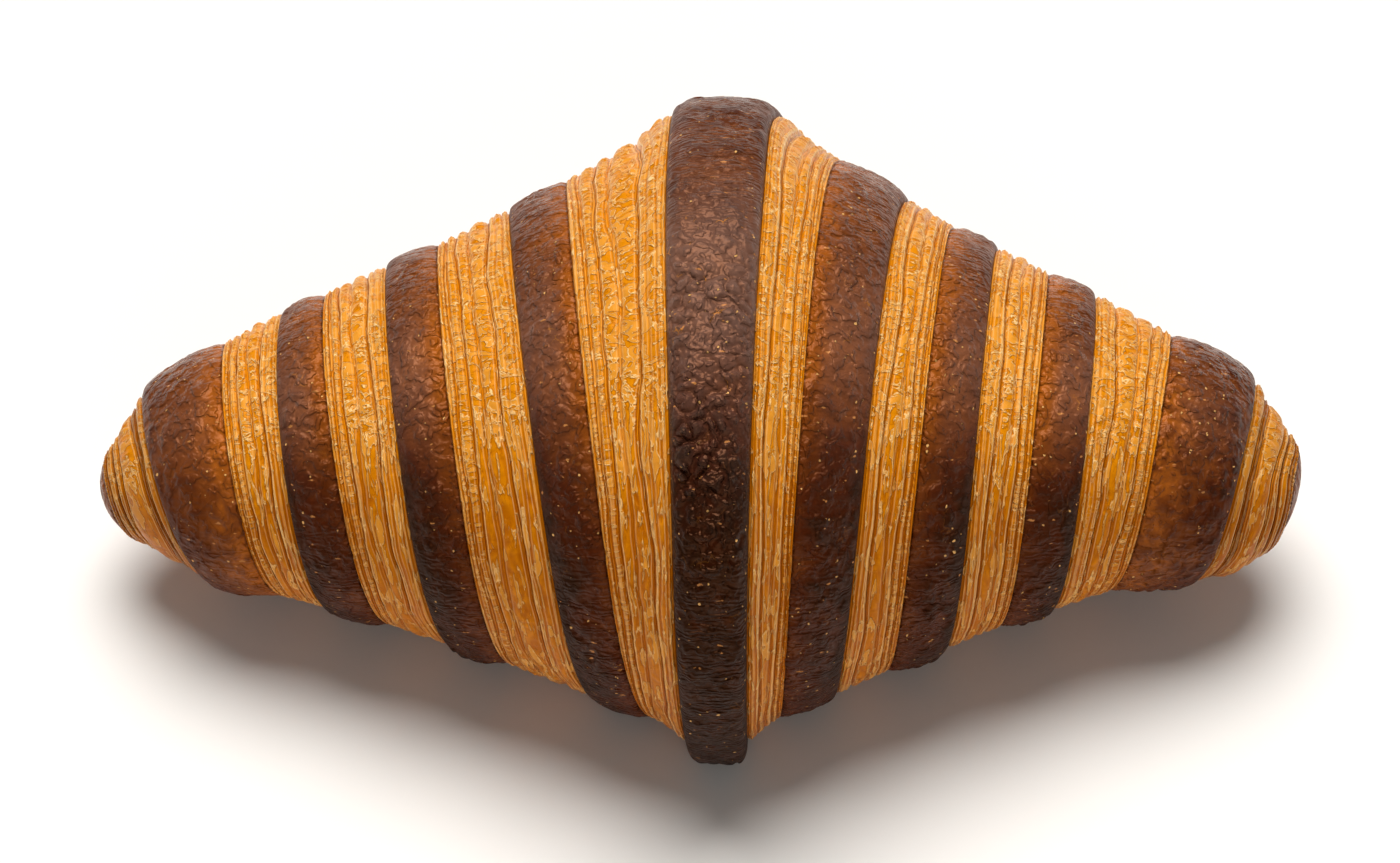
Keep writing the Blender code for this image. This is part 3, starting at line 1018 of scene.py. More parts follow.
@dataclass(frozen=True)
class SkinRelief:
    """Lumps, pebbles and wrinkles of a baked skin, as sizes and heights in millimetres."""

    lump: float = 9.0
    lump_height: float = 0.34
    cobble: float = 4.6
    cobble_height: float = 0.20
    pebble: float = 2.4
    pebble_height: float = 0.31
    crease_width: float = 0.2
    crease_depth: float = 0.07
    wrinkle: float = 1.3
    wrinkle_height: float = 0.06
    stretch: float = 0.5
    # Width of a cobble's and a pebble's round edge as a share of its size, and their mean heights.
    cobble_edge: float = 0.4
    pebble_edge: float = 0.6
    cobble_mean: float = 0.7
    pebble_mean: float = 0.6
    # Patches where pebbles are strong or weak: their size, usual strength, change and limits.
    patch: float = 11.0
    presence: float = 0.62
    presence_change: float = 0.9
    presence_limits: tuple[float, float] = (0.15, 1.15)
    # Noise that bends the pebbles' outlines: its size, how far it moves them, and its three fields.
    warps: tuple[tuple[float, float, tuple[float, ...]], ...] = (
        (3.3, 1.1, (0.0, 31.7, 57.9)), (1.25, 0.3, (11.0, 43.7, 71.9)))

    def height(self, chance: Unevenness, spots: np.ndarray,
               strength: np.ndarray | float = 1.0) -> tuple[np.ndarray, np.ndarray]:
        """Relief of a skin.

        Args:
            chance: The random fields.
            spots: Points of the skin in millimetres.
            strength: How strong the pebbles are, 1 is usual.

        Returns:
            The height in millimetres, and how open the creases are, from 0 to 1.
        """
        warped = spots
        for size, amount, fields in self.warps:
            moves = np.stack([chance.smooth(spots / size + field) for field in fields], axis=-1)
            warped = warped + amount * moves
        gap = chance.gaps(warped / self.pebble)
        crease = bell(gap, self.crease_width)
        cobbles = ease(chance.gaps(warped / self.cobble + 23.0) / self.cobble_edge)
        drawn = warped * np.array([self.stretch, 1.0, 1.0])
        wrinkles = chance.ridges(drawn / self.wrinkle + 7.0)
        presence = self.presence + self.presence_change * chance.smooth(spots / self.patch + 17.0)
        amount = np.clip(presence, *self.presence_limits) * strength
        height = (
            self.lump_height * chance.smooth(spots / self.lump + 5.0)
            + self.cobble_height * (cobbles - self.cobble_mean)
            + amount * self.pebble_height * (ease(gap / self.pebble_edge) - self.pebble_mean)
            - amount * self.crease_depth * crease
            + np.sqrt(amount) * self.wrinkle_height * wrinkles
        )
        return height, crease * np.clip(amount, 0.0, 1.0)


@dataclass(frozen=True)
class Bake:
    """How dark a skin is baked, its painted sheen and how matt it is, as values from 0 to 1.

    The toast changes along the seam, on lumps and in open creases; it also rises along the rim and
    low on the roll, where it is painted shade of the rounded rim and of the underside.
    Reaches and the patches' size are in millimetres, places round the roll and spans in degrees.
    """

    middle: float = 0.48
    seam_change: float = -0.20
    seam_reach: float = 2.6
    # Darker along the rim and low on the roll: painted shade where the skin turns away and underneath.
    rim_shade: float = 0.16
    rim_reach: float = 1.5
    underside_shade: float = 0.42
    low_from: float = 198.0
    low_span: float = 45.0
    patches: float = 0.07
    patch: float = 6.0
    on_lumps: float = 0.25
    in_creases: float = 0.0
    # The greyish sheen painted on top, a painted highlight, which starts at a distance from the seam.
    bloom: float = 0.5
    painted_sheen_at: float = 196.0
    painted_sheen_span: float = 20.0
    painted_sheen_start: float = 0.8
    painted_sheen_growth: float = 2.5
    # How dark open creases look: painted shade in the creases.
    crease: float = 0.25
    # Fine wrinkles, on top at the back and low in front.
    wrinkled: float = 0.8
    wrinkled_to: float = 190.0
    back_span: float = 22.0
    wrinkled_from: float = 232.0
    front_span: float = 25.0
    # Share of the dents and of the wrinkles that the rim loses.
    rim_dents: float = 0.3
    rim_wrinkles: float = 0.5
    # How matt the film is along the rim and low down.
    matt_rim: float = 0.65
    matt_low: float = 0.65
    matt_from: float = 198.0
    matt_span: float = 45.0

    def marks(self, chance: Unevenness, spots: np.ndarray, around: np.ndarray,
              from_seam: np.ndarray | float, from_rim: np.ndarray, height: np.ndarray,
              creases: np.ndarray, dents: np.ndarray) -> dict[str, np.ndarray]:
        """Marks that the crust's material reads.

        Args:
            chance: The random fields.
            spots: Points of the skin in millimetres.
            around: Angle of each ring round the roll.
            from_seam: Distance of each point from the seam that the skin comes out of.
            from_rim: Distance of each point from the skin's free edge.
            height: Height of the relief in millimetres.
            creases: How open the creases are.
            dents: How strong the dents are, 1 is usual.

        Returns:
            A value for each point or each ring, by the mark's name.
        """
        rim = bell(from_rim, RIM_REACH)
        toast = (self.middle + self.patches * chance.smooth(spots / self.patch + 40.0)
                 + self.seam_change * bell(from_seam, self.seam_reach)
                 + self.rim_shade * bell(from_rim, self.rim_reach)
                 + self.underside_shade * lowness(around, self.low_from, self.low_span)
                 + self.on_lumps * height + self.in_creases * creases)
        bloom = self.bloom * bell(around, self.painted_sheen_span, self.painted_sheen_at)
        drawn_up = self.wrinkled * np.maximum(
            ease((self.wrinkled_to - around) / self.back_span),
            ease((around - self.wrinkled_from) / self.front_span))
        matt = self.matt_rim * rim + self.matt_low * lowness(around, self.matt_from, self.matt_span)
        return {
            "toast": np.clip(toast, 0.0, 1.0),
            "bloom": bloom * ease((from_seam - self.painted_sheen_start) / self.painted_sheen_growth),
            "seam": np.clip(from_seam, 0.0, SEAM_REACH),
            "crease": self.crease * np.clip(creases, 0.0, 1.0),
            "dented": dents * (1.0 - self.rim_dents * rim),
            "wrinkled": drawn_up * (1.0 - self.rim_wrinkles * rim),
            "matt": np.clip(matt, 0.0, 1.0),
        }


LEATHERY = SkinRelief()
LUMPY = SkinRelief(lump_height=0.24, cobble_height=0.20, pebble_height=0.15, wrinkle_height=0.03)
DARK_BAKE = Bake()
AMBER_BAKE = Bake(
    middle=0.58, seam_change=-0.30, seam_reach=4.2, rim_shade=0.14, rim_reach=3.6, underside_shade=0.08,
    patches=0.06, patch=4.0, on_lumps=0.32, in_creases=-0.22, bloom=0.25, wrinkled=0.35)
DEEP_AMBER_BAKE = replace(AMBER_BAKE, middle=0.70)
FLAP_BAKE = Bake(
    middle=0.64, seam_change=0.0, rim_shade=0.06, rim_reach=1.2, low_span=40.0, on_lumps=0.2,
    bloom=1.0, painted_sheen_at=195.0, painted_sheen_span=22.0, crease=0.8, wrinkled=1.0, rim_dents=0.2,
    rim_wrinkles=0.4, matt_low=0.6, matt_from=225.0)


@dataclass
class Skin(Turn):
    """The dark skin of one turn, from the seam that it comes out of to its rounded shoulder."""

    relief: SkinRelief = LEATHERY
    bake: Bake = DARK_BAKE
    step_along: float = 0.32
    step_across: float = 0.30
    # Exponent that sets the columns closer together at the shoulder, and how many more there are.
    crowding: float = 1.35
    spare_columns: float = 1.2
    swell: float = 0.15
    # Where the relief gets flatter down the back, and by what share.
    back_from: float = 185.0
    back_span: float = 25.0
    back_share: float = 0.4
    # How strong the dents are, and how much weaker low down.
    dents: float = 1.35
    low_dents: float = 0.4
    # Depth and reach of the dip along the seam.
    seam_dip: tuple[float, float] = (0.22, 0.45)

    def build(self) -> bpy.types.Object:
        """Models the skin.

        Returns:
            The piece, with marks for how dark it is baked and where its creases are.
        """
        roll, flank, chance = self.dough.roll, self.flank, self.dough.chance
        around, length = self.once_round(self.step_along)
        unrolled = roll.unrolled(around, self.wrap)
        inner, outer = flank.seam(unrolled - FULL_TURN), flank.shoulder(unrolled)
        width = outer - inner
        usual = float(np.median(width)) * self.spare_columns
        even = np.linspace(0.0, 1.0, max(14, round(usual / self.step_across)))
        t = 1.0 - (1.0 - even) ** self.crowding
        distance = inner + width * t
        size = (1.0 - t) * roll.cone(flank, inner) + t * roll.cone(flank, outer)
        size = size + self.swell * width * rounded(t)
        spots = roll.place(flank, distance, around, size)
        height, creases = self.relief.height(chance, spots)
        from_seam, from_rim = t * width, (1.0 - t) * width
        flatter = 1.0 - self.back_share * ease((self.back_from - around) / self.back_span)
        size = size + height * ease(from_rim / LIP_REACH) * flatter
        low = np.clip(lowness(around, self.bake.low_from, self.bake.low_span), 0.0, 1.0)
        marks = self.bake.marks(chance, spots, around, from_seam, from_rim, height, creases,
                                self.dents - self.low_dents * low)
        marks["along"] = around / FULL_TURN * length
        deep, reach = self.seam_dip
        return self.strip("skin", distance, around, size, deep * bell(from_seam, reach), marks)


@dataclass
class Flap:
    """The middle of the roll: the broad flap that the triangle's tip makes over both sides."""

    dough: Dough
    bake: Bake = FLAP_BAKE
    relief: SkinRelief = SkinRelief(pebble=2.5, lump_height=0.28, pebble_height=0.56,
                                    crease_depth=0.16, crease_width=0.14)
    step_along: float = 0.29
    columns_across: int = 74
    rounding: float = 9.0
    roundness: float = 3.3
    square_from: float = 228.0
    square_span: float = 40.0
    squareness: float = 1.3
    # How strong the pebbles are: usually, then what they gain or lose behind, above, in front and
    # low in front, where wrinkles take their place.
    pebbles: float = 0.8
    pebbles_behind: float = -0.5
    behind_from: float = 185.0
    behind_span: float = 22.0
    pebbles_above: float = -0.6
    above_at: float = 190.0
    above_span: float = 12.0
    pebbles_front: float = 1.9
    front_at: float = 221.0
    front_span: float = 25.0
    pebbles_low: float = -0.45
    low_from: float = 238.0
    # How strong the dents are: usually, then what they gain in front and low in front.
    dents: float = 0.5
    dents_front: float = 0.95
    dents_low: float = 0.2

    def half(self, flank: Flank, around: np.ndarray) -> dict[str, np.ndarray]:
        """One half of the flap, from its middle to the columns that curl in at its edge.

        Args:
            flank: The side of the roll.
            around: Angle of each ring.

        Returns:
            Its points, the axis' points and its marks, as Dough.bordered gives them.
        """
        roll, chance = self.dough.roll, self.dough.chance
        edge = flank.shoulder(roll.unrolled(around, 0))
        t = np.sin(np.linspace(0.0, 1.0, self.columns_across // 2) * math.pi / 2.0)
        distance = edge * t
        both = 0.5 * sum(roll.flap_base(side, around) for side in (roll.left, roll.right))
        base = both + (roll.flap_base(flank, around) - both) * ease(t)
        past = np.clip((distance - edge) / np.minimum(self.rounding, edge) + 1.0, 0.0, 1.0)
        power = self.roundness + self.squareness * ease((around - self.square_from) / self.square_span)
        size = base + roll.flap_rise(around) * (1.0 - past ** power) ** (1.0 / power)
        spots = roll.place(flank, distance, around, size)
        low = ease((around - self.low_from) / self.front_span)
        front = bell(around, self.front_span, self.front_at)
        strength = (self.pebbles + self.pebbles_low * low + self.pebbles_front * front
                    + self.pebbles_behind * ease((self.behind_from - around) / self.behind_span)
                    + self.pebbles_above * bell(around, self.above_span, self.above_at))
        height, creases = self.relief.height(chance, spots, strength)
        from_rim = edge - distance
        size = size + height * ease(from_rim / LIP_REACH)
        dents = self.dents + self.dents_front * front + self.dents_low * low
        marks = self.bake.marks(chance, spots, around, NO_SEAM, from_rim, height, creases, dents)
        marks["along"] = np.radians(around) * (roll.core_radius + roll.waist_swell + roll.rise_back)
        flat = np.zeros_like(distance)
        return self.dough.bordered(flank, distance, around, size, flat, marks, TUCKED[:0])

    def build(self) -> bpy.types.Object:
        """Models the flap.

        Returns:
            The piece, with marks for how dark it is baked and where its creases are.
        """
        roll = self.dough.roll
        length = 2.0 * math.pi * (roll.core_radius + roll.waist_swell + roll.rise_back)
        around = np.linspace(0.0, FULL_TURN, round(length / self.step_along))[:, None]
        left, right = self.half(roll.left, around), self.half(roll.right, around)
        return Ribbon("centre_flap", {
            part: np.concatenate([left[part][:, :0:-1], right[part]], axis=1)
            for part in left}).build()


@dataclass
class Tip:
    """The blunt end of one side: the last turn's skin, closed over the end of the roll."""

    dough: Dough
    flank: Flank
    relief: SkinRelief = SkinRelief(lump_height=0.2, pebble_height=0.14)
    strength: float = 0.8
    toast: float = 0.42
    toast_patches: float = 0.14
    patch: float = 6.0
    rows: int = 60
    columns: int = 220
    # Where the first ring lies between the pole and the seam, and how the others crowd there.
    first_ring: float = 0.06
    crowding: float = 0.9
    # Radius over which the relief grows from nothing at the pole.
    pole_fade: float = 3.0
    # How strong the dents are, and how matt the film is.
    dented: float = 0.8
    matt: float = 0.5
    # Share of the way to the axis that a point sinks at most.
    sunk_most: float = 0.8
    # Depth and reach of the dip along the seam.
    seam_dip: tuple[float, float] = (0.2, 0.45)
    # Rows that run back under the cut face: how far, and how deep.
    inside: tuple[tuple[float, float], ...] = ((0.35, 0.45), (0.1, 1.0), (0.8, 1.8), (2.0, 3.2))

    def build(self) -> bpy.types.Object:
        """Models the tip: rings from the end of the roll back to its seam, then in under it.

        Returns:
            The piece, with marks for how dark it is baked and where its creases are.
        """
        roll, flank, chance = self.dough.roll, self.flank, self.dough.chance
        around = np.arange(self.columns) * FULL_TURN / self.columns
        unrolled = roll.unrolled(around, roll.wraps - 1)
        face = flank.shoulder(unrolled)
        start = face + (flank.seam(unrolled) - face) * ease(around / roll.opening)
        t = np.linspace(self.first_ring, 1.0, self.rows)[:, None]
        back = (1.0 - np.cos(t * math.pi / 2.0)) ** self.crowding
        distance = flank.reach - (flank.reach - start) * back
        size = roll.cone(flank, distance)
        spots = roll.place(flank, distance, around, size)
        height, creases = self.relief.height(chance, spots, self.strength)
        from_seam = distance - start
        size = size + height * ease(size / self.pole_fade)
        deep, reach = self.seam_dip
        toast = self.toast + self.toast_patches * chance.smooth(spots / self.patch + 40.0)
        hidden, sunk = np.array(self.inside).T[..., None]
        rows = ((0, len(hidden)), (0, 0))
        distance = np.concatenate([distance, start - hidden])
        size = np.pad(size, rows, mode="edge")
        depth = np.pad(deep * bell(from_seam, reach), rows)
        depth[-len(hidden):] = sunk
        marks = {
            "toast": np.clip(np.pad(toast, rows, mode="edge"), 0.0, 1.0),
            "bloom": 0.0,
            "seam": np.clip(np.pad(from_seam, rows), 0.0, SEAM_REACH),
            "crease": np.clip(np.pad(creases, rows, constant_values=1.0), 0.0, 1.0),
            "dented": self.dented,
            "wrinkled": 0.0,
            "matt": self.matt,
            "along": 0.0,
        }
        full = {mark: np.broadcast_to(values, size.shape) for mark, values in marks.items()}
        top, _ = self.dough.sunk(flank, distance, around, size, depth, self.sunk_most)
        return Lathed(f"{flank.side.label}_tip", top, full).build()[0]


def feed(tree: bpy.types.NodeTree, node: bpy.types.Node, inputs: dict[Any, Any]) -> None:
    """Sets and links a node's inputs.

    Args:
        tree: The node's tree.
        node: The node.
        inputs: For each input by name or number, its value, the output that it is linked to, or a
            node whose first output in use it is linked to.
    """
    for key, value in inputs.items():
        if isinstance(value, bpy.types.Node):
            value = next(output for output in value.outputs if output.enabled)
        if isinstance(value, bpy.types.NodeSocket):
            tree.links.new(value, node.inputs[key])
        else:
            node.inputs[key].default_value = value


def add(tree: bpy.types.NodeTree, kind: str, inputs: dict[Any, Any] | None = None,
        stops: Sequence[tuple[float, str]] = (), **settings: Any) -> bpy.types.Node:
    """Adds a node.

    Args:
        tree: The tree that it is added to.
        kind: Type name of the node, without the "ShaderNode" that all start with.
        inputs: Its inputs, as feed takes them.
        stops: Places and colours of a colour ramp.
        settings: Other properties of the node.

    Returns:
        The new node.
    """
    node = tree.nodes.new(f"ShaderNode{kind}")
    for name, value in settings.items():
        setattr(node, name, value)
    feed(tree, node, inputs or {})
    for number, (place, colour) in enumerate(stops):
        ramp = node.color_ramp.elements
        stop = ramp[number] if number < len(ramp) else ramp.new(place)
        stop.position, stop.color = place, srgb(colour)
    return node


def per_mm(size: float) -> float:
    """Scale of a pattern on Object coordinates whose cells are this many millimetres wide."""
    return 1.0 / (size * MM)


@dataclass(frozen=True)
class Finish:
    """A baked surface that reads a piece's marks: its name, its gloss and its bump's height in mm."""

    name: str
    marks: tuple[str, ...]
    gloss: float
    sheen_tint: str
    bump: float

    def surface(self, node: AddNode, place: Link, read: Marks) -> tuple[Link, Any, Link]:
        """Adds the nodes of the surface.

        Args:
            node: Adds a node to the material.
            place: Object coordinates.
            read: The piece's marks.

        Returns:
            The colour, the roughness and the height for the bump.
        """
        raise NotImplementedError

    def coated(self, node: AddNode, tone: Link,
               coats: Sequence[tuple[Link, float | Link, str]]) -> bpy.types.Node:
        """Lays colours over each other.

        Args:
            node: Adds a node to the material.
            tone: Colour of the ground.
            coats: For each colour, a mask of where it lies, its strength, and the colour.

        Returns:
            The node of the last colour.
        """
        for mask, strength, colour in coats:
            share = node("Math", {0: mask, 1: strength}, operation="MULTIPLY")
            tone = node("Mix", {"Factor": share, "A": tone, "B": srgb(colour)}, data_type="RGBA")
        return tone

    def material(self) -> bpy.types.Material:
        """Makes the material.

        Returns:
            The material, with what is the same all over set on the shader's own sockets.
        """
        finish = bpy.data.materials.new(self.name)
        finish.use_nodes = True
        tree = finish.node_tree
        node = partial(add, tree)
        read = {mark: node("Attribute", attribute_name=mark).outputs["Fac"] for mark in self.marks}
        place = node("TexCoord").outputs["Object"]
        colour, roughness, height = self.surface(node, place, read)
        normal = node("Bump", {"Strength": 1.0, "Distance": self.bump * MM, "Height": height})
        feed(tree, tree.nodes["Principled BSDF"], {
            "Base Color": colour, "Roughness": roughness, "Normal": normal, "Metallic": 0.0,
            "Specular IOR Level": self.gloss, "Specular Tint": srgb(self.sheen_tint)})
        return finish


@dataclass(frozen=True)
class EggWashedCrust(Finish):
    """Wheat crust brushed with egg and baked dark: a satin, leathery brown skin.

    Browned sugars and egg give a thin, slightly glossy film over a dull crust, so the sheen is broad
    and breaks on fine wrinkles. On top a greyish sheen is painted into the colour, a painted
    highlight, and dark lines along the seam and in open creases are painted shade. Toasted flecks,
    nicks and hairline cracks show the paler dough under the film; the pale flecks also stand for
    glints, painted highlights. Sizes are in millimetres.
    """

    name: str = "egg_washed_crust"
    marks: tuple[str, ...] = (
        "toast", "bloom", "seam", "crease", "dented", "wrinkled", "matt", "along")
    gloss: float = 0.32
    sheen_tint: str = "FFAC78"
    bump: float = 0.38
    # From barely to darkly baked, each with its place on the mark "toast", which also carries
    # painted shade along the rim and low on the roll.
    tones: tuple[tuple[float, str], ...] = (
        (0.08, "B86218"), (0.42, "763A10"), (0.75, "441602"), (1.0, "180500"))
    # Painted sheen on top and its share, and the painted shadow along the seam.
    bloom: str = "8A6E60"
    painted_sheen_share: float = 0.46
    seam_shadow: str = "2E1004"
    fleck_and_glint: str = "E8B068"
    nick: str = "BA7A42"
    amber: str = "C27A2C"
    roughness: float = 0.25
    dry_roughness: float = 0.30
    mottle_size: float = 3.0
    mottle_toast: float = 0.09
    mottle_roughness: float = 0.1
    fleck_cell: float = 1.25
    fleck_size: float = 0.22
    nick_cell: float = 3.2
    nick_size: float = 0.56
    nick_stretch: tuple[float, float, float] = (0.9, 2.8, 2.8)
    crack_cell: float = 2.6
    crack_width: float = 0.08
    crack_patch: float = 3.2
    dent_size: float = 1.5
    wrinkle_step: float = 0.78
    wrinkle_patch: float = 1.7
    wrinkle_stretch: float = 0.45
    wrinkle_wander: float = 19.0
    # Size and shift of the noise that tears specks and cracks and that bends dents.
    speck_tear: tuple[float, float] = (0.8, 0.15)
    crack_tear: tuple[float, float] = (1.6, 0.5)
    dent_bend: tuple[float, float] = (2.2, 0.5)
    # Heights as shares of the bump: wrinkles, flecks, and grain along the strip and of its own.
    wrinkle_height: float = 0.38
    fleck_height: float = 0.5
    strip_grain: tuple[float, float] = (0.7, 0.14)
    own_grain: tuple[float, float] = (0.5, 0.08)

    def warped(self, node: AddNode, place: Link, size: float, amount: float) -> bpy.types.Node:
        """Moves places about by noise, so that patterns on them look torn.

        Args:
            node: Adds a node to the material.
            place: Object coordinates.
            size: Width of the noise's lumps in millimetres.
            amount: How far a place is moved, in millimetres.

        Returns:
            The node of the moved coordinates.
        """
        noise = node("TexNoise", {
            "Vector": place, "Scale": per_mm(size), "Detail": 2.0, "Roughness": 0.5})
        centred = node("VectorMath", {0: noise.outputs["Color"], 1: (0.5, 0.5, 0.5)},
                       operation="SUBTRACT")
        return node("VectorMath", {0: centred, 1: (4.0 * amount * MM,) * 3, 2: place},
                    operation="MULTIPLY_ADD")

    def specks(self, node: AddNode, place: Link, cell: float, size: float,
               stretch: tuple[float, float, float]) -> bpy.types.Node:
        """Torn specks of different sizes: small spheres round scattered points, where they surface.

        Args:
            node: Adds a node to the material.
            place: Object coordinates.
            cell: Distance between the points in millimetres.
            size: Radius of the largest specks in millimetres.
            stretch: How the pattern is squeezed along x, y and z; a small value makes long specks.

        Returns:
            The node of a mask, 1 on a speck.
        """
        torn = self.warped(node, place, *self.speck_tear)
        drawn = node("Mapping", {"Vector": torn, "Scale": stretch})
        cells = node("TexVoronoi", {"Vector": drawn, "Scale": per_mm(cell)})
        chosen = node("SeparateColor", {"Color": cells.outputs["Color"]})
        largest = node("MapRange", {
            "Value": chosen, "From Min": 0.2, "From Max": 0.9, "To Min": 0.0, "To Max": size / cell})
        near = node("Math", {0: largest, 1: cells}, operation="SUBTRACT")
        return node("MapRange", {"Value": near, "From Min": 0.0, "From Max": 0.05})

    def cracks(self, node: AddNode, place: Link) -> bpy.types.Node:
        """Short hairlines along parts of the borders of random cells.

        Args:
            node: Adds a node to the material.
            place: Object coordinates.

        Returns:
            The node of a mask, 1 on a hairline.
        """
        torn = self.warped(node, place, *self.crack_tear)
        edges = node("TexVoronoi", {"Vector": torn, "Scale": per_mm(self.crack_cell)},
                     feature="DISTANCE_TO_EDGE")
        width = self.crack_width / self.crack_cell
        line = node("MapRange", {"Value": edges, "From Min": width, "From Max": 0.3 * width})
        parts = node("TexNoise", {
            "Vector": place, "Scale": per_mm(self.crack_patch), "Detail": 1.0})
        some = node("MapRange", {"Value": parts, "From Min": 0.62, "From Max": 0.68})
        return node("Math", {0: line, 1: some}, operation="MULTIPLY")

    def wrinkles(self, node: AddNode, place: Link, read: Marks) -> bpy.types.Node:
        """Height of the finest relief: dents, and fine wrinkles that run across the strips.

        Args:
            node: Adds a node to the material.
            place: Object coordinates.
            read: The skin's marks.

        Returns:
            The node of the height, in the bump node's units.
        """
        bent = self.warped(node, place, *self.dent_bend)
        dents = node("TexNoise", {"Vector": bent, "Scale": per_mm(self.dent_size), "Detail": 1.0})
        lips = node("MapRange", {"Value": dents, "From Min": 0.5, "From Max": 0.58, "To Max": 0.4},
                    interpolation_type="SMOOTHSTEP")
        soft = node("Math", {0: dents, 1: 1.6, 2: lips}, operation="MULTIPLY_ADD")
        height = node("Math", {0: soft, 1: read["dented"]}, operation="MULTIPLY")
        # Waves along the strip, which wander and come and go.
        drawn = node("Mapping", {"Vector": place, "Scale": (self.wrinkle_stretch, 1.0, 1.0)})
        wander = node("TexNoise", {
            "Vector": drawn, "Scale": per_mm(self.wrinkle_patch), "Detail": 2.0})
        phase = node("Math", {0: read["along"], 1: 2.0 * math.pi / self.wrinkle_step},
                     operation="MULTIPLY")
        phase = node("Math", {0: wander, 1: self.wrinkle_wander, 2: phase},
                     operation="MULTIPLY_ADD")
        wave = node("Math", {0: phase}, operation="SINE")
        presence = node("MapRange", {
            "Value": wander.outputs["Color"], "From Min": 0.36, "From Max": 0.62,
            "To Max": self.wrinkle_height})
        amount = node("Math", {0: presence, 1: read["wrinkled"]}, operation="MULTIPLY")
        height = node("Math", {0: wave, 1: amount, 2: height}, operation="MULTIPLY_ADD")
        for spots, (size, share) in ((drawn, self.strip_grain), (place, self.own_grain)):
            grain = node("TexNoise", {"Vector": spots, "Scale": per_mm(size), "Detail": 2.0})
            height = node("Math", {0: grain, 1: share, 2: height}, operation="MULTIPLY_ADD")
        return height

    def surface(self, node: AddNode, place: Link, read: Marks) -> tuple[Link, Any, Link]:
        """Adds the nodes of the crust.

        Args:
            node: Adds a node to the material.
            place: Object coordinates.
            read: The skin's marks.

        Returns:
            The colour, the roughness and the height for the bump.
        """
        mottle = node("TexNoise", {"Vector": place, "Scale": per_mm(self.mottle_size),
                                   "Detail": 5.0, "Roughness": 0.65})
        uneven, dull = (
            node("MapRange", {"Value": mottle, "From Min": 0.3, "From Max": 0.7,
                              "To Min": middle - spread, "To Max": middle + spread})
            for middle, spread in ((0.0, self.mottle_toast), (self.roughness, self.mottle_roughness)))
        baked = node("Math", {0: read["toast"], 1: uneven}, operation="ADD")
        tone = node("ValToRGB", {"Fac": baked}, stops=self.tones)
        # Painted shade: a dark line along the seam and darkening in open creases.
        seam_shade = node("MapRange", {
            "Value": read["seam"], "From Min": 0.30, "From Max": 0.08, "To Max": 0.55})
        shade = node("Math", {0: read["crease"], 1: 0.6, 2: seam_shade}, operation="MULTIPLY_ADD",
                     use_clamp=True)
        # Hairline cracks show most where the sheen is painted on top.
        cracks_on_sheen = node("MapRange", {
            "Value": read["bloom"], "From Min": 0.3, "From Max": 0.7, "To Min": 0.1, "To Max": 0.9})
        nick = self.specks(node, place, self.nick_cell, self.nick_size, self.nick_stretch)
        # Pale flecks of toasted dough, which also stand for glints, painted highlights.
        fleck_and_glint = self.specks(node, place, self.fleck_cell, self.fleck_size, (1.0, 1.0, 1.0))
        tone = self.coated(node, tone, (
            (read["bloom"], self.painted_sheen_share, self.bloom), (shade, 1.0, self.seam_shadow),
            (self.cracks(node, place), cracks_on_sheen, self.amber), (nick, 1.0, self.nick),
            (fleck_and_glint, 1.0, self.fleck_and_glint)))
        dry = node("MapRange", {"Value": read["matt"], "To Max": self.dry_roughness})
        rough = node("Math", {0: dull, 1: dry}, operation="ADD")
        raised = node("Math", {0: fleck_and_glint, 1: self.fleck_height, 2: self.wrinkles(node, place, read)},
                      operation="MULTIPLY_ADD")
        return tone, rough, raised


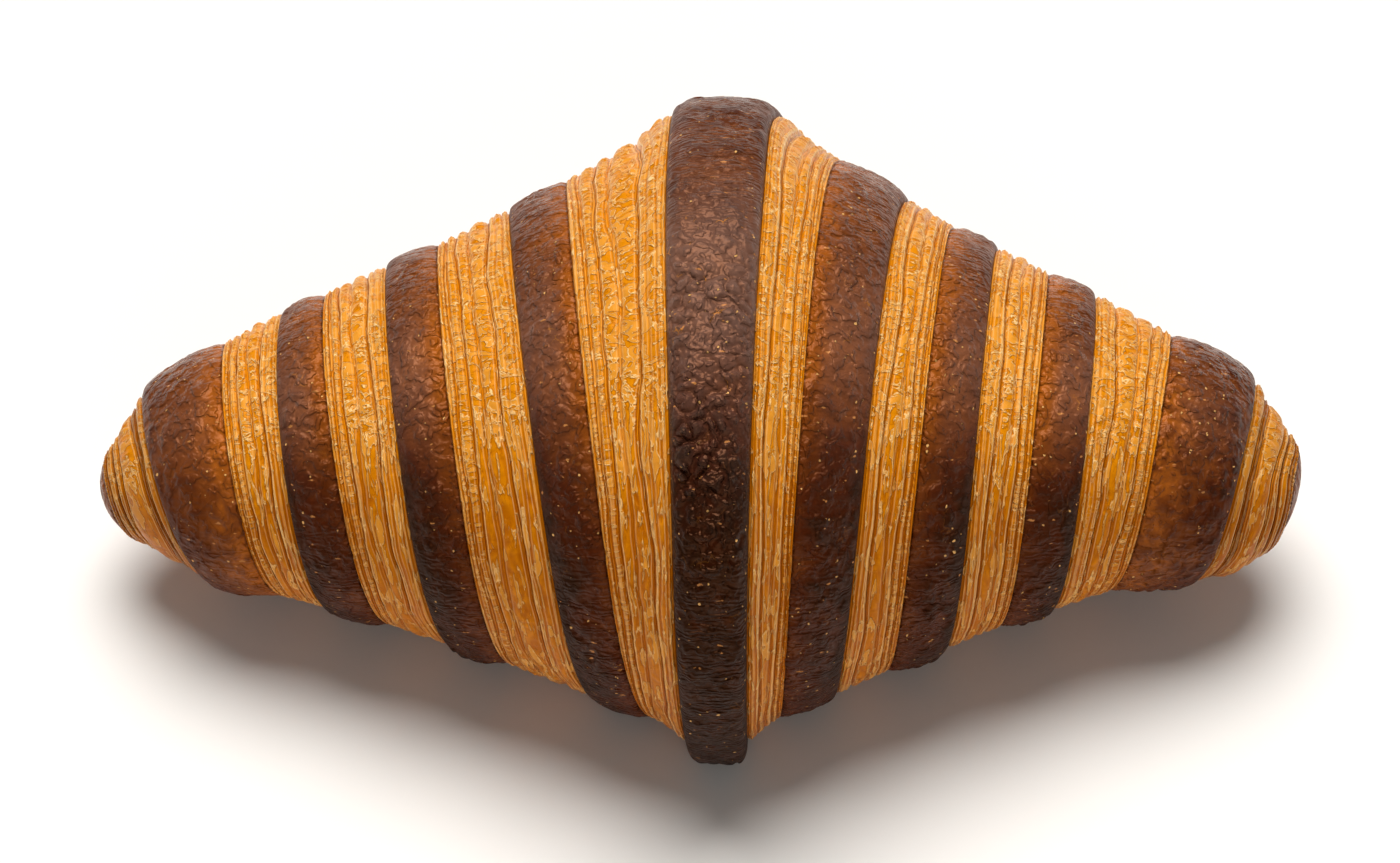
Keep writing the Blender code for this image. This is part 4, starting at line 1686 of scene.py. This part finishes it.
@dataclass(frozen=True)
class LaminatedCut(Finish):
    """Cut edge of laminated butter dough, baked golden: crisp pale crinkles on an orange ground.

    The dough's raised folds are pale on an orange ground, so a fold has a light top with orange
    ground beside it. Its bright rim is a painted highlight, painted shade darkens its feet, and the
    ground is painted darker in hollows, in grooves and low down. Where two layers lie against each
    other a dark hairline of painted shade lies between two pale lines of painted highlight. Butter
    gives all of it a soft sheen. Sizes are in millimetres.
    """

    name: str = "laminated_cut"
    marks: tuple[str, ...] = (
        "level", "browned", "border", "trough", "edge", "curly", "crimped", "across", "along")
    gloss: float = 0.16
    sheen_tint: str = "FFB868"
    bump: float = 0.13
    # The groove colour is painted shade in the lines between layers and along the face's edges.
    groove: str = "964A04"
    caramel_and_shade: str = "AE5800"
    orange: str = "E08806"
    wheat: str = "EDA442"
    highlight_cream: str = "FFD896"
    browned: str = "6A2C04"
    roughness: float = 0.31
    mottle_size: float = 4.0
    # Half the width of the dark line of painted shade between two layers, and place and half the
    # width of the pale line of painted highlight beside it.
    line_width: float = 0.09
    rim_place: float = 0.27
    rim_width: float = 0.13
    # Height of the folds where their pale top begins and is full, then middle and span of their
    # bright rim, a painted highlight, and of their orange feet, painted shade.
    top: tuple[float, float] = (0.51, 0.57)
    rim: tuple[float, float] = (0.565, 0.03)
    shaded_foot: tuple[float, float] = (0.50, 0.035)
    # Share of the mark "level" that is added to that height.
    level_share: float = 0.12
    # How strong the colours of the tops, of the painted shade at the feet and of the dark lines of
    # painted shade between layers are.
    top_share: float = 0.48
    shaded_foot_share: float = 0.6
    groove_share: float = 1.1
    # Folds for each millimetre across and along the layers, and how much they curl: fibres about
    # 0.8 mm by 5 mm, curls 2 mm wide, and ribs 0.8 mm apart.
    folds: tuple[tuple[float, float, float], ...] = (
        (1.25, 0.19, 0.7), (0.46, 0.58, 1.5), (0.40, 1.20, 0.6))

    def band(self, node: AddNode, value: Link, middle: float, width: float) -> bpy.types.Node:
        """Soft line where a value passes its middle.

        Args:
            node: Adds a node to the material.
            value: The value.
            middle: Value on the line.
            width: Change of the value from the line to where it has faded.

        Returns:
            The node of a mask, 1 on the line and 0 beside it.
        """
        off = node("Math", {0: value, 1: middle}, operation="SUBTRACT")
        away = node("Math", {0: off}, operation="ABSOLUTE")
        return node("MapRange", {"Value": away, "From Min": width, "From Max": 0.0},
                    interpolation_type="SMOOTHSTEP")

    def surface(self, node: AddNode, place: Link, read: Marks) -> tuple[Link, Any, Link]:
        """Adds the nodes of the cut face.

        Args:
            node: Adds a node to the material.
            place: Object coordinates.
            read: The cut face's marks.

        Returns:
            The colour, the roughness and the height for the bump.
        """
        face = node("CombineXYZ", {"X": read["across"], "Y": read["along"]})
        kinds = []
        for across, along, distortion in self.folds:
            drawn = node("Mapping", {"Vector": face, "Scale": (across, along, 1.0)})
            kinds.append(node("TexNoise", {"Vector": drawn, "Scale": 1.0, "Detail": 2.0,
                                           "Roughness": 0.5, "Distortion": distortion}))
        folded = kinds[0]
        for mark, kind in zip(("curly", "crimped"), kinds[1:]):
            folded = node("Mix", {"Factor": read[mark], "A": folded, "B": kind})
        mottle = node("TexNoise", {"Vector": place, "Scale": per_mm(self.mottle_size),
                                   "Detail": 3.0, "Roughness": 0.55})
        patch = node("MapRange", {
            "Value": mottle, "From Min": 0.3, "From Max": 0.7, "To Min": -0.07, "To Max": 0.01})
        lift = node("Math", {0: read["level"], 1: self.level_share, 2: patch},
                    operation="MULTIPLY_ADD")
        height = node("Math", {0: folded, 1: lift}, operation="ADD")
        top = node("MapRange", {"Value": height, "From Min": self.top[0], "From Max": self.top[1]},
                   interpolation_type="SMOOTHSTEP")
        # Painted highlight on the rims of the folds, and painted shade at their feet.
        rim = self.band(node, height, *self.rim)
        shaded_foot = self.band(node, height, *self.shaded_foot)
        # Colours: ground, painted darker in hollows, grooves and low down; tops; painted shade at the
        # feet and painted highlight on the rims of the folds; then the lines between the layers, pale
        # highlight beside dark shade, then browned layers and painted shade at the edges.
        ground = node("MapRange", {"Value": read["level"], "From Min": 0.0, "From Max": 0.55})
        tone = node("Mix", {"Factor": ground, "A": srgb(self.caramel_and_shade), "B": srgb(self.orange)},
                    data_type="RGBA")
        bright = node("Math", {0: read["level"], 1: 0.8, 2: 0.3}, operation="MULTIPLY_ADD")
        strength = node("MapRange", {"Value": read["trough"], "From Min": 0.0, "From Max": 0.30})
        stronger = node("Math", {0: strength, 1: 0.9, 2: 0.05}, operation="MULTIPLY_ADD")
        # Pale lines of painted highlight beside the lines between layers.
        beside = node("Math", {
            0: self.band(node, read["border"], self.rim_place, self.rim_width), 1: stronger},
            operation="MULTIPLY")
        # Dark lines of painted shade in the grooves between layers.
        line = node("MapRange", {
            "Value": read["border"], "From Min": self.line_width, "From Max": 0.02})
        between = node("Math", {0: line, 1: strength}, operation="MULTIPLY")
        # Painted shade along the cut face's edges, where it meets the skins.
        outer = node("MapRange", {
            "Value": read["edge"], "From Min": 0.16, "From Max": 0.03, "To Max": 0.7})
        tone = self.coated(node, tone, (
            (top, self.top_share, self.wheat), (shaded_foot, self.shaded_foot_share, self.caramel_and_shade),
            (rim, bright, self.highlight_cream), (beside, 1.0, self.highlight_cream),
            (between, self.groove_share, self.groove), (read["browned"], 1.0, self.browned),
            (outer, 1.0, self.groove)))
        relief = top
        for part, share in ((rim, 0.35), (beside, 0.5), (between, -1.0)):
            relief = node("Math", {0: part, 1: share, 2: relief}, operation="MULTIPLY_ADD")
        return tone, self.roughness, relief


@dataclass(frozen=True)
class Croissant:
    """The whole croissant: the flap, and on each side its skins, cut faces and tip."""

    roll: Roll = Roll()
    crust: EggWashedCrust = EggWashedCrust()
    cut: LaminatedCut = LaminatedCut()
    seed: int = 20

    def build(self) -> list[bpy.types.Object]:
        """Builds and dresses every piece, from the flap outwards.

        Returns:
            The pieces.
        """
        dough = Dough(self.roll, Unevenness(self.seed), self.roll.centring())
        crust, cut = self.crust.material(), self.cut.material()
        pieces = [self.dress(Flap(dough).build(), crust)]
        last = self.roll.wraps - 1
        for flank in (self.roll.left, self.roll.right):
            amber = AMBER_BAKE if flank.side is Side.LEFT else DEEP_AMBER_BAKE
            for wrap in range(self.roll.wraps):
                if wrap > 0:
                    look = (LUMPY, amber) if wrap == last else (LEATHERY, DARK_BAKE)
                    pieces.append(self.dress(Skin(dough, flank, wrap, *look).build(), crust))
                kind = (TIP_LAYERS, TIP_TERRACES) if wrap == last else (CUT_LAYERS, CUT_TERRACES)
                pieces.append(self.dress(CutFace(dough, flank, wrap, *kind).build(), cut))
            pieces.append(self.dress(Tip(dough, flank).build(), crust))
        return pieces

    def dress(self, piece: bpy.types.Object, finish: bpy.types.Material) -> bpy.types.Object:
        """Gives a piece its material and ties it to the solid that it stands for.

        Args:
            piece: The modelled piece.
            finish: Its material.

        Returns:
            The same piece.
        """
        piece.data.materials.append(finish)
        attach(piece, BODY)
        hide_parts(NODE)
        LOG.info("%s: %d faces", piece.name, len(piece.data.polygons))
        return piece


@dataclass(frozen=True)
class Studio:
    """Pale floor, soft light from above and the camera of the photograph, in metres."""

    floor_size: float = 6.0
    floor_drop: float = 0.0002
    floor_colour: str = "F5F1EB"
    floor_roughness: float = 0.9
    floor_gloss: float = 0.1
    key_spread: float = 44.0
    key_strength: float = 3.5
    key_place: tuple[float, float, float] = (-0.04, 0.235, 0.76)
    fill_size: float = 0.5
    fill_power: float = 0.85
    fill_place: tuple[float, float, float] = (0.1, -0.72, 0.36)
    sky: float = 0.13
    horizon: float = 0.5
    dark_horizon: float = 0.12
    backdrop: float = 0.88
    aim: tuple[float, float, float] = (0.0, -0.0002, 0.0293)
    camera_distance: float = 0.781
    camera_elevation: float = 48.0
    focal_length: float = 141.7
    sensor_width: float = 36.0

    def build(self) -> None:
        """Sets up the floor, the lights, the sky and the camera."""
        self.add_floor()
        key = self.add_light("key_light", "SUN", self.key_place, self.key_strength)
        key.angle = math.radians(self.key_spread)
        fill = self.add_light("fill_light", "AREA", self.fill_place, self.fill_power)
        fill.size = self.fill_size
        self.add_sky()
        bpy.context.scene.view_settings.view_transform = "Standard"
        self.add_camera()

    def add_sky(self) -> None:
        """Lights the croissant softly from all round, most from behind and least from above."""
        world = bpy.context.scene.world or bpy.data.worlds.new("studio")
        bpy.context.scene.world = world
        world.use_nodes = True
        node = partial(add, world.node_tree)
        way = node("SeparateXYZ", {"Vector": node("TexCoord").outputs["Generated"]}).outputs
        around = node("MapRange", {"Value": way["Y"], "From Min": -0.8, "From Max": 0.6,
                                   "To Min": self.dark_horizon, "To Max": self.horizon})
        fade = node("MapRange", {"Value": way["Z"], "From Min": 0.03, "From Max": 0.28,
                                 "To Min": around, "To Max": self.sky},
                    interpolation_type="SMOOTHSTEP")
        # A low, pale backdrop behind the floor, which the views from near the table see.
        backdrop = node("MapRange", {"Value": way["Z"], "From Min": 0.03, "From Max": 0.05,
                                     "To Min": self.backdrop, "To Max": fade})
        feed(world.node_tree, world.node_tree.nodes["Background"], {
            "Color": srgb("FFFFFF"), "Strength": backdrop})

    def add_floor(self) -> None:
        """Lays a large, matt, pale floor just under the croissant."""
        deselect_all()
        bpy.ops.mesh.primitive_plane_add(size=self.floor_size, location=(0.0, 0.0, 0.0))
        floor = bpy.context.object
        floor.name = "floor"
        bpy.ops.object.mode_set(mode="EDIT")
        bpy.ops.transform.translate(value=(0.0, 0.0, -self.floor_drop))
        bpy.ops.object.mode_set(mode="OBJECT")
        paint = bpy.data.materials.new("matt_floor_paint")
        paint.use_nodes = True
        feed(paint.node_tree, paint.node_tree.nodes["Principled BSDF"], {
            "Base Color": srgb(self.floor_colour), "Roughness": self.floor_roughness,
            "Specular IOR Level": self.floor_gloss})
        floor.data.materials.append(paint)

    def add_light(self, name: str, kind: str, place: tuple[float, float, float],
                  strength: float) -> bpy.types.Light:
        """Hangs a soft light that faces the croissant.

        Args:
            name: Name of the light.
            kind: Blender's type of light.
            place: Where it hangs; for a sun, only the direction counts.
            strength: Watts, or watts for each square metre from a sun.

        Returns:
            The light's settings.
        """
        deselect_all()
        bpy.ops.object.light_add(type=kind, location=place)
        light = bpy.context.object
        light.name = name
        light.data.energy = strength
        way = Vector(self.aim) - Vector(place)
        light.rotation_euler = way.to_track_quat("-Z", "Y").to_euler()
        return light.data

    def add_camera(self) -> None:
        """Sets the camera at the photograph's angle and distance."""
        deselect_all()
        rise = math.radians(self.camera_elevation)
        back = Vector((0.0, -math.cos(rise), math.sin(rise)))
        bpy.ops.object.camera_add(location=Vector(self.aim) + back * self.camera_distance)
        camera = bpy.context.object
        camera.name = "camera"
        camera.rotation_euler = (-back).to_track_quat("-Z", "Y").to_euler()
        camera.data.lens = self.focal_length
        camera.data.sensor_width = self.sensor_width
        bpy.context.scene.camera = camera


def main() -> None:
    """Builds the croissant and the studio, and logs how many pieces and faces it has."""
    logging.basicConfig(level=logging.INFO, format="%(name)s: %(message)s")
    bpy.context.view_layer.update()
    pieces = Croissant().build()
    LOG.info("%d pieces, %d faces", len(pieces), sum(len(p.data.polygons) for p in pieces))
    Studio().build()


if __name__ == "__main__":
    main()
